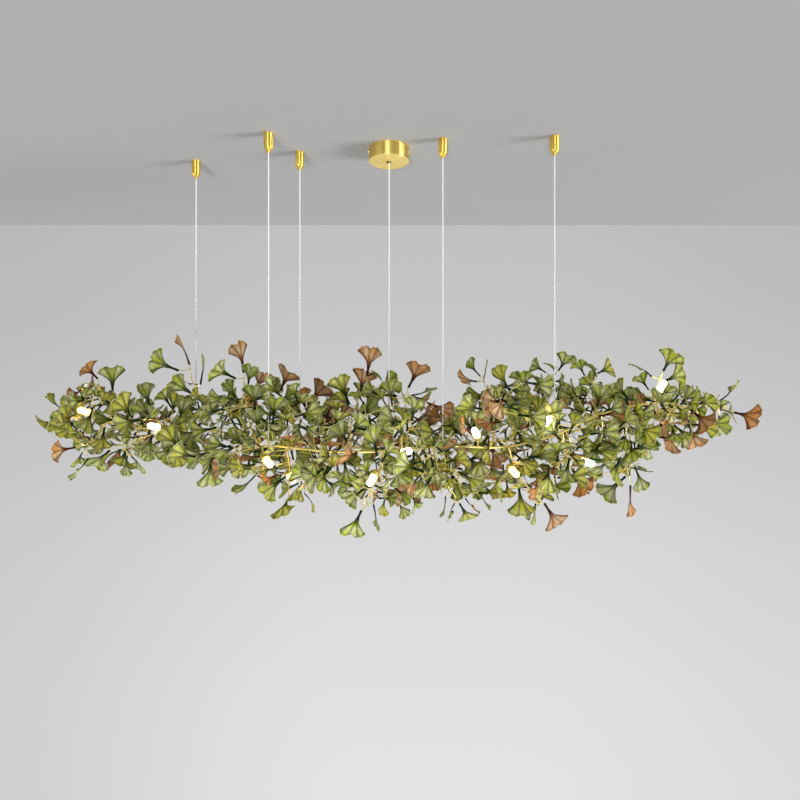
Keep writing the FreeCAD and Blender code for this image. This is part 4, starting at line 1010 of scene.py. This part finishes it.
class Foliage:
    """Every leaf on its twig, spray by spray, with the room and the picture that they fill."""

    def __init__(self):
        self.dice = random.Random(5)
        self.leaves, self.twigs = {}, {}
        self.room, self.cover = Room(), Cover()

    def read_leaves(self):
        for spray in SPRAYS:
            for kind in KINDS:
                found = [read_leaf(*solid) for solid in solids_of(f"{kind}_leaves_{spray}")]
                self.leaves[kind, spray] = found
                for leaf in found:
                    self.room.add(leaf.samples())
                    self.cover.add(leaf.samples())

    def read_twigs(self):
        """Each twig of the solids, from its foot to the leaf that stands at its end."""
        leaves = [leaf for spray in self.leaves.values() for leaf in spray]
        tree = KDTree(len(leaves))
        for k, leaf in enumerate(leaves):
            tree.insert(leaf.origin, k)
        tree.balance()
        for spray in SPRAYS:
            self.twigs[spray] = []
            for foot, end in rods_of(f"twigs_{spray}", lambda p: tree.find(p)[2]):
                start, tip = middle_of(foot), middle_of(end)
                self.twigs[spray].append((start, tip, leaves[tree.find(tip)[1]].along))
                self.room.add(dots(start.lerp(tip, 0.25), tip))

    def keep_off(self, stem_runs, bulb_places):
        """Fill the room of the stems and of the bulbs."""
        for a, b in stem_runs:
            self.room.add(dots(a, b))
        for base, along in bulb_places:
            side = along.orthogonal().normalized()
            for k in range(11):
                for turn in range(6):
                    out = side * math.cos(turn) + along.cross(side) * math.sin(turn)
                    self.room.add([base + along * (k * 5 * MM) + out * (8 * MM)])

    def fill(self, stem_runs):
        """Add leaves where the spray of the photograph is denser, as far as there is room for them."""
        shoots = [(start.lerp(tip, 0.15), tip.lerp(start, 0.2)) for rows in self.twigs.values()
                  for start, tip, _ in rows if (tip - start).length > 0.03]
        ends = [end.x for run in stem_runs for end in run]
        left, right = min(ends), max(ends)
        added = 0
        for attempt in range(TRIES):
            found = sprout(self.dice, stem_runs, shoots)
            if not found:
                continue
            start, leaf = found
            points = leaf.samples()
            stalk = dots(start.lerp(leaf.origin, 0.45), leaf.origin)
            if self.cover.gain(points) < 0.2 - 0.5 * attempt / TRIES or not in_box(points):
                continue
            if not self.room.clear(points, LEAF_GAP) or not self.room.clear(stalk, STALK_GAP):
                continue
            share = (start.x - left) / (right - left)
            spray = min(max(int(share * len(SPRAYS)), 0), len(SPRAYS) - 1) + 1
            kind = "amber" if self.dice.random() < 0.14 else "green"
            self.leaves[kind, spray].append(leaf)
            self.twigs[spray].append((start, leaf.origin, leaf.along))
            self.room.add(points + stalk)
            self.cover.add(points)
            added += 1
            if added == ADDED:
                break

    def make(self):
        for spray in SPRAYS:
            for kind in KINDS:
                shape = Shape()
                for leaf in self.leaves[kind, spray]:
                    leaf.cast(shape, self.dice)
                shape.piece(f"{kind}_fans_{spray}", f"leaf_{kind}", "branch", f"{kind}_leaves_{spray}",
                            sharp=60)
            shape = Shape()
            for start, tip, along in self.twigs[spray]:
                pull = (start + tip) / 2 * 0.5 + (tip - along * ((tip - start).length * 0.5)) * 0.5
                line = brazed(bent(start, pull, tip + along * (1.5 * MM), 7), 1.3)
                shape.tube(line, [1.9 * MM, 1.15 * MM] + [1.0 * MM] * 5 + [1.15 * MM], 8)
            shape.piece(f"twig_bars_{spray}", "branch_brass", "branch", f"twigs_{spray}")


stem_runs = [(a, b) for line in stem_lines for a, b in zip(line, line[1:])]
foliage = Foliage()
foliage.read_leaves()
foliage.read_twigs()
foliage.keep_off(stem_runs, bulb_seats)
foliage.fill(stem_runs)
foliage.make()


# Room and light

WALL_Y, FRONT_Y, FLOOR_Z, HALF_X = 0.655, -5, -2.7, 6
CEILING_Z = 0.4 * MM


def seen_only(finish, look):
    """Show a look to the viewer, to gloss and to glass, from the front, and let all other light through."""
    path = finish.node("LightPath", {}, {}, "Is Camera Ray")
    back = finish.node("NewGeometry", {}, {}, "Backfacing")
    seen = path.most(path.other("Is Glossy Ray").most(path.other("Is Transmission Ray")))
    through = finish.node("BsdfTransparent", {}, {})
    shown = finish.node("MixShader", {}, {"Fac": seen * (1 - back), 1: through, 2: look})
    return finish.done(shown)


def plane(name, start, end, finish, face=(0, 1, 2, 3)):
    """A flat sheet of the room from one y and z to another, which isn't part of the lamp."""
    mesh = bpy.data.meshes.new(name)
    corners = [(-HALF_X, *start), (-HALF_X, *end), (HALF_X, *end), (HALF_X, *start)]
    mesh.from_pydata(corners, [], [face])
    mesh.materials.append(finish)
    placed(name, mesh)


def greys(*stops):
    """A ramp's stops, each a position and a grey."""
    return {"stops": [(position, (grey, grey, grey)) for position, grey in stops]}


def ceiling():
    f = Finish("ceiling_paint")
    paint = f.surface({"Base Color": (0.468, 0.470, 0.475), "Roughness": 0.9, "Specular IOR Level": 0.0})
    plane("ceiling", (FRONT_Y, CEILING_Z), (WALL_Y, CEILING_Z), seen_only(f, paint))


def wall():
    """A pale wall with painted light: lighter towards the floor, and painted shade darker to its sides."""
    f = Finish("wall_painted_light")
    x = f.split(f.place())
    down = x.other("Z") * -0.5
    # Painted light: greys that grow lighter towards the floor.
    grey = f.node("ValToRGB", greys((0.0, 0.527), (0.14, 0.555), (0.21, 0.574), (0.6, 0.704),
                                              (0.85, 0.755), (1.0, 0.77)), {"Fac": down}, "Color")
    # Painted shade: the wall darkens to its sides.
    sides = 1 - (x * -1.0).within(0.1, 1.6) * (0.09 + down * 0.1) - x.within(0.4, 1.7) * 0.085
    look = f.node("Emission", {}, {"Color": grey, "Strength": sides})
    plane("wall", (WALL_Y, 0.0), (WALL_Y, FLOOR_Z), seen_only(f, look))


def floor():
    f = Finish("pale_floor")
    look = f.node("Emission", {}, {"Color": (0.92, 0.92, 0.91), "Strength": 1.0})
    plane("floor", (FRONT_Y, FLOOR_Z), (WALL_Y, FLOOR_Z), seen_only(f, look), face=(0, 3, 2, 1))


def studio():
    """Even grey light, a pale backdrop for the viewer, and tall windows for what is polished."""
    world = bpy.data.worlds.new("studio")
    bpy.context.scene.world = world
    f = Finish("studio", world)
    x = f.split(f.node("TexCoord", {}, {}, "Generated"))
    turn = x.sum("ARCTAN2", x, x.other("Y") * -1.0) * (1 / TURN) + 0.5
    windows = f.node("ValToRGB", greys((0.0, 0.30), (0.20, 0.14), (0.27, 0.35), (0.325, 1.0),
                                                 (0.375, 1.0), (0.40, 0.06), (0.485, 0.04), (0.505, 1.0),
                                                 (0.55, 1.0), (0.575, 0.25), (0.62, 0.42), (0.72, 0.55),
                                                 (0.77, 0.12), (1.0, 0.30)), {"Fac": turn}, "Color")
    path = f.node("LightPath", {}, {}, "Is Camera Ray")
    colour = f.mixed(path, (0.49, 0.49, 0.49), (0.68, 0.68, 0.68))
    colour = f.mixed(path.other("Is Glossy Ray"), colour, windows)
    f.done(f.node("Background", {}, {"Color": colour, "Strength": 1.0}))


def lamp(name, strength, spread, way):
    """Soft light from far off, its spread in degrees."""
    sun = bpy.data.lights.new(name, "SUN")
    sun.energy, sun.angle = strength, math.radians(spread)
    placed(name, sun).rotation_euler = Vector(way).to_track_quat("-Z", "Y").to_euler()


ceiling()
wall()
floor()
studio()
lamp("side_window", 2.8, 26, (-0.93, 0.20, 0.30))
lamp("front_window", 1.55, 16, (0.12, 0.90, 0.36))
bpy.context.scene.view_settings.view_transform = "Standard"
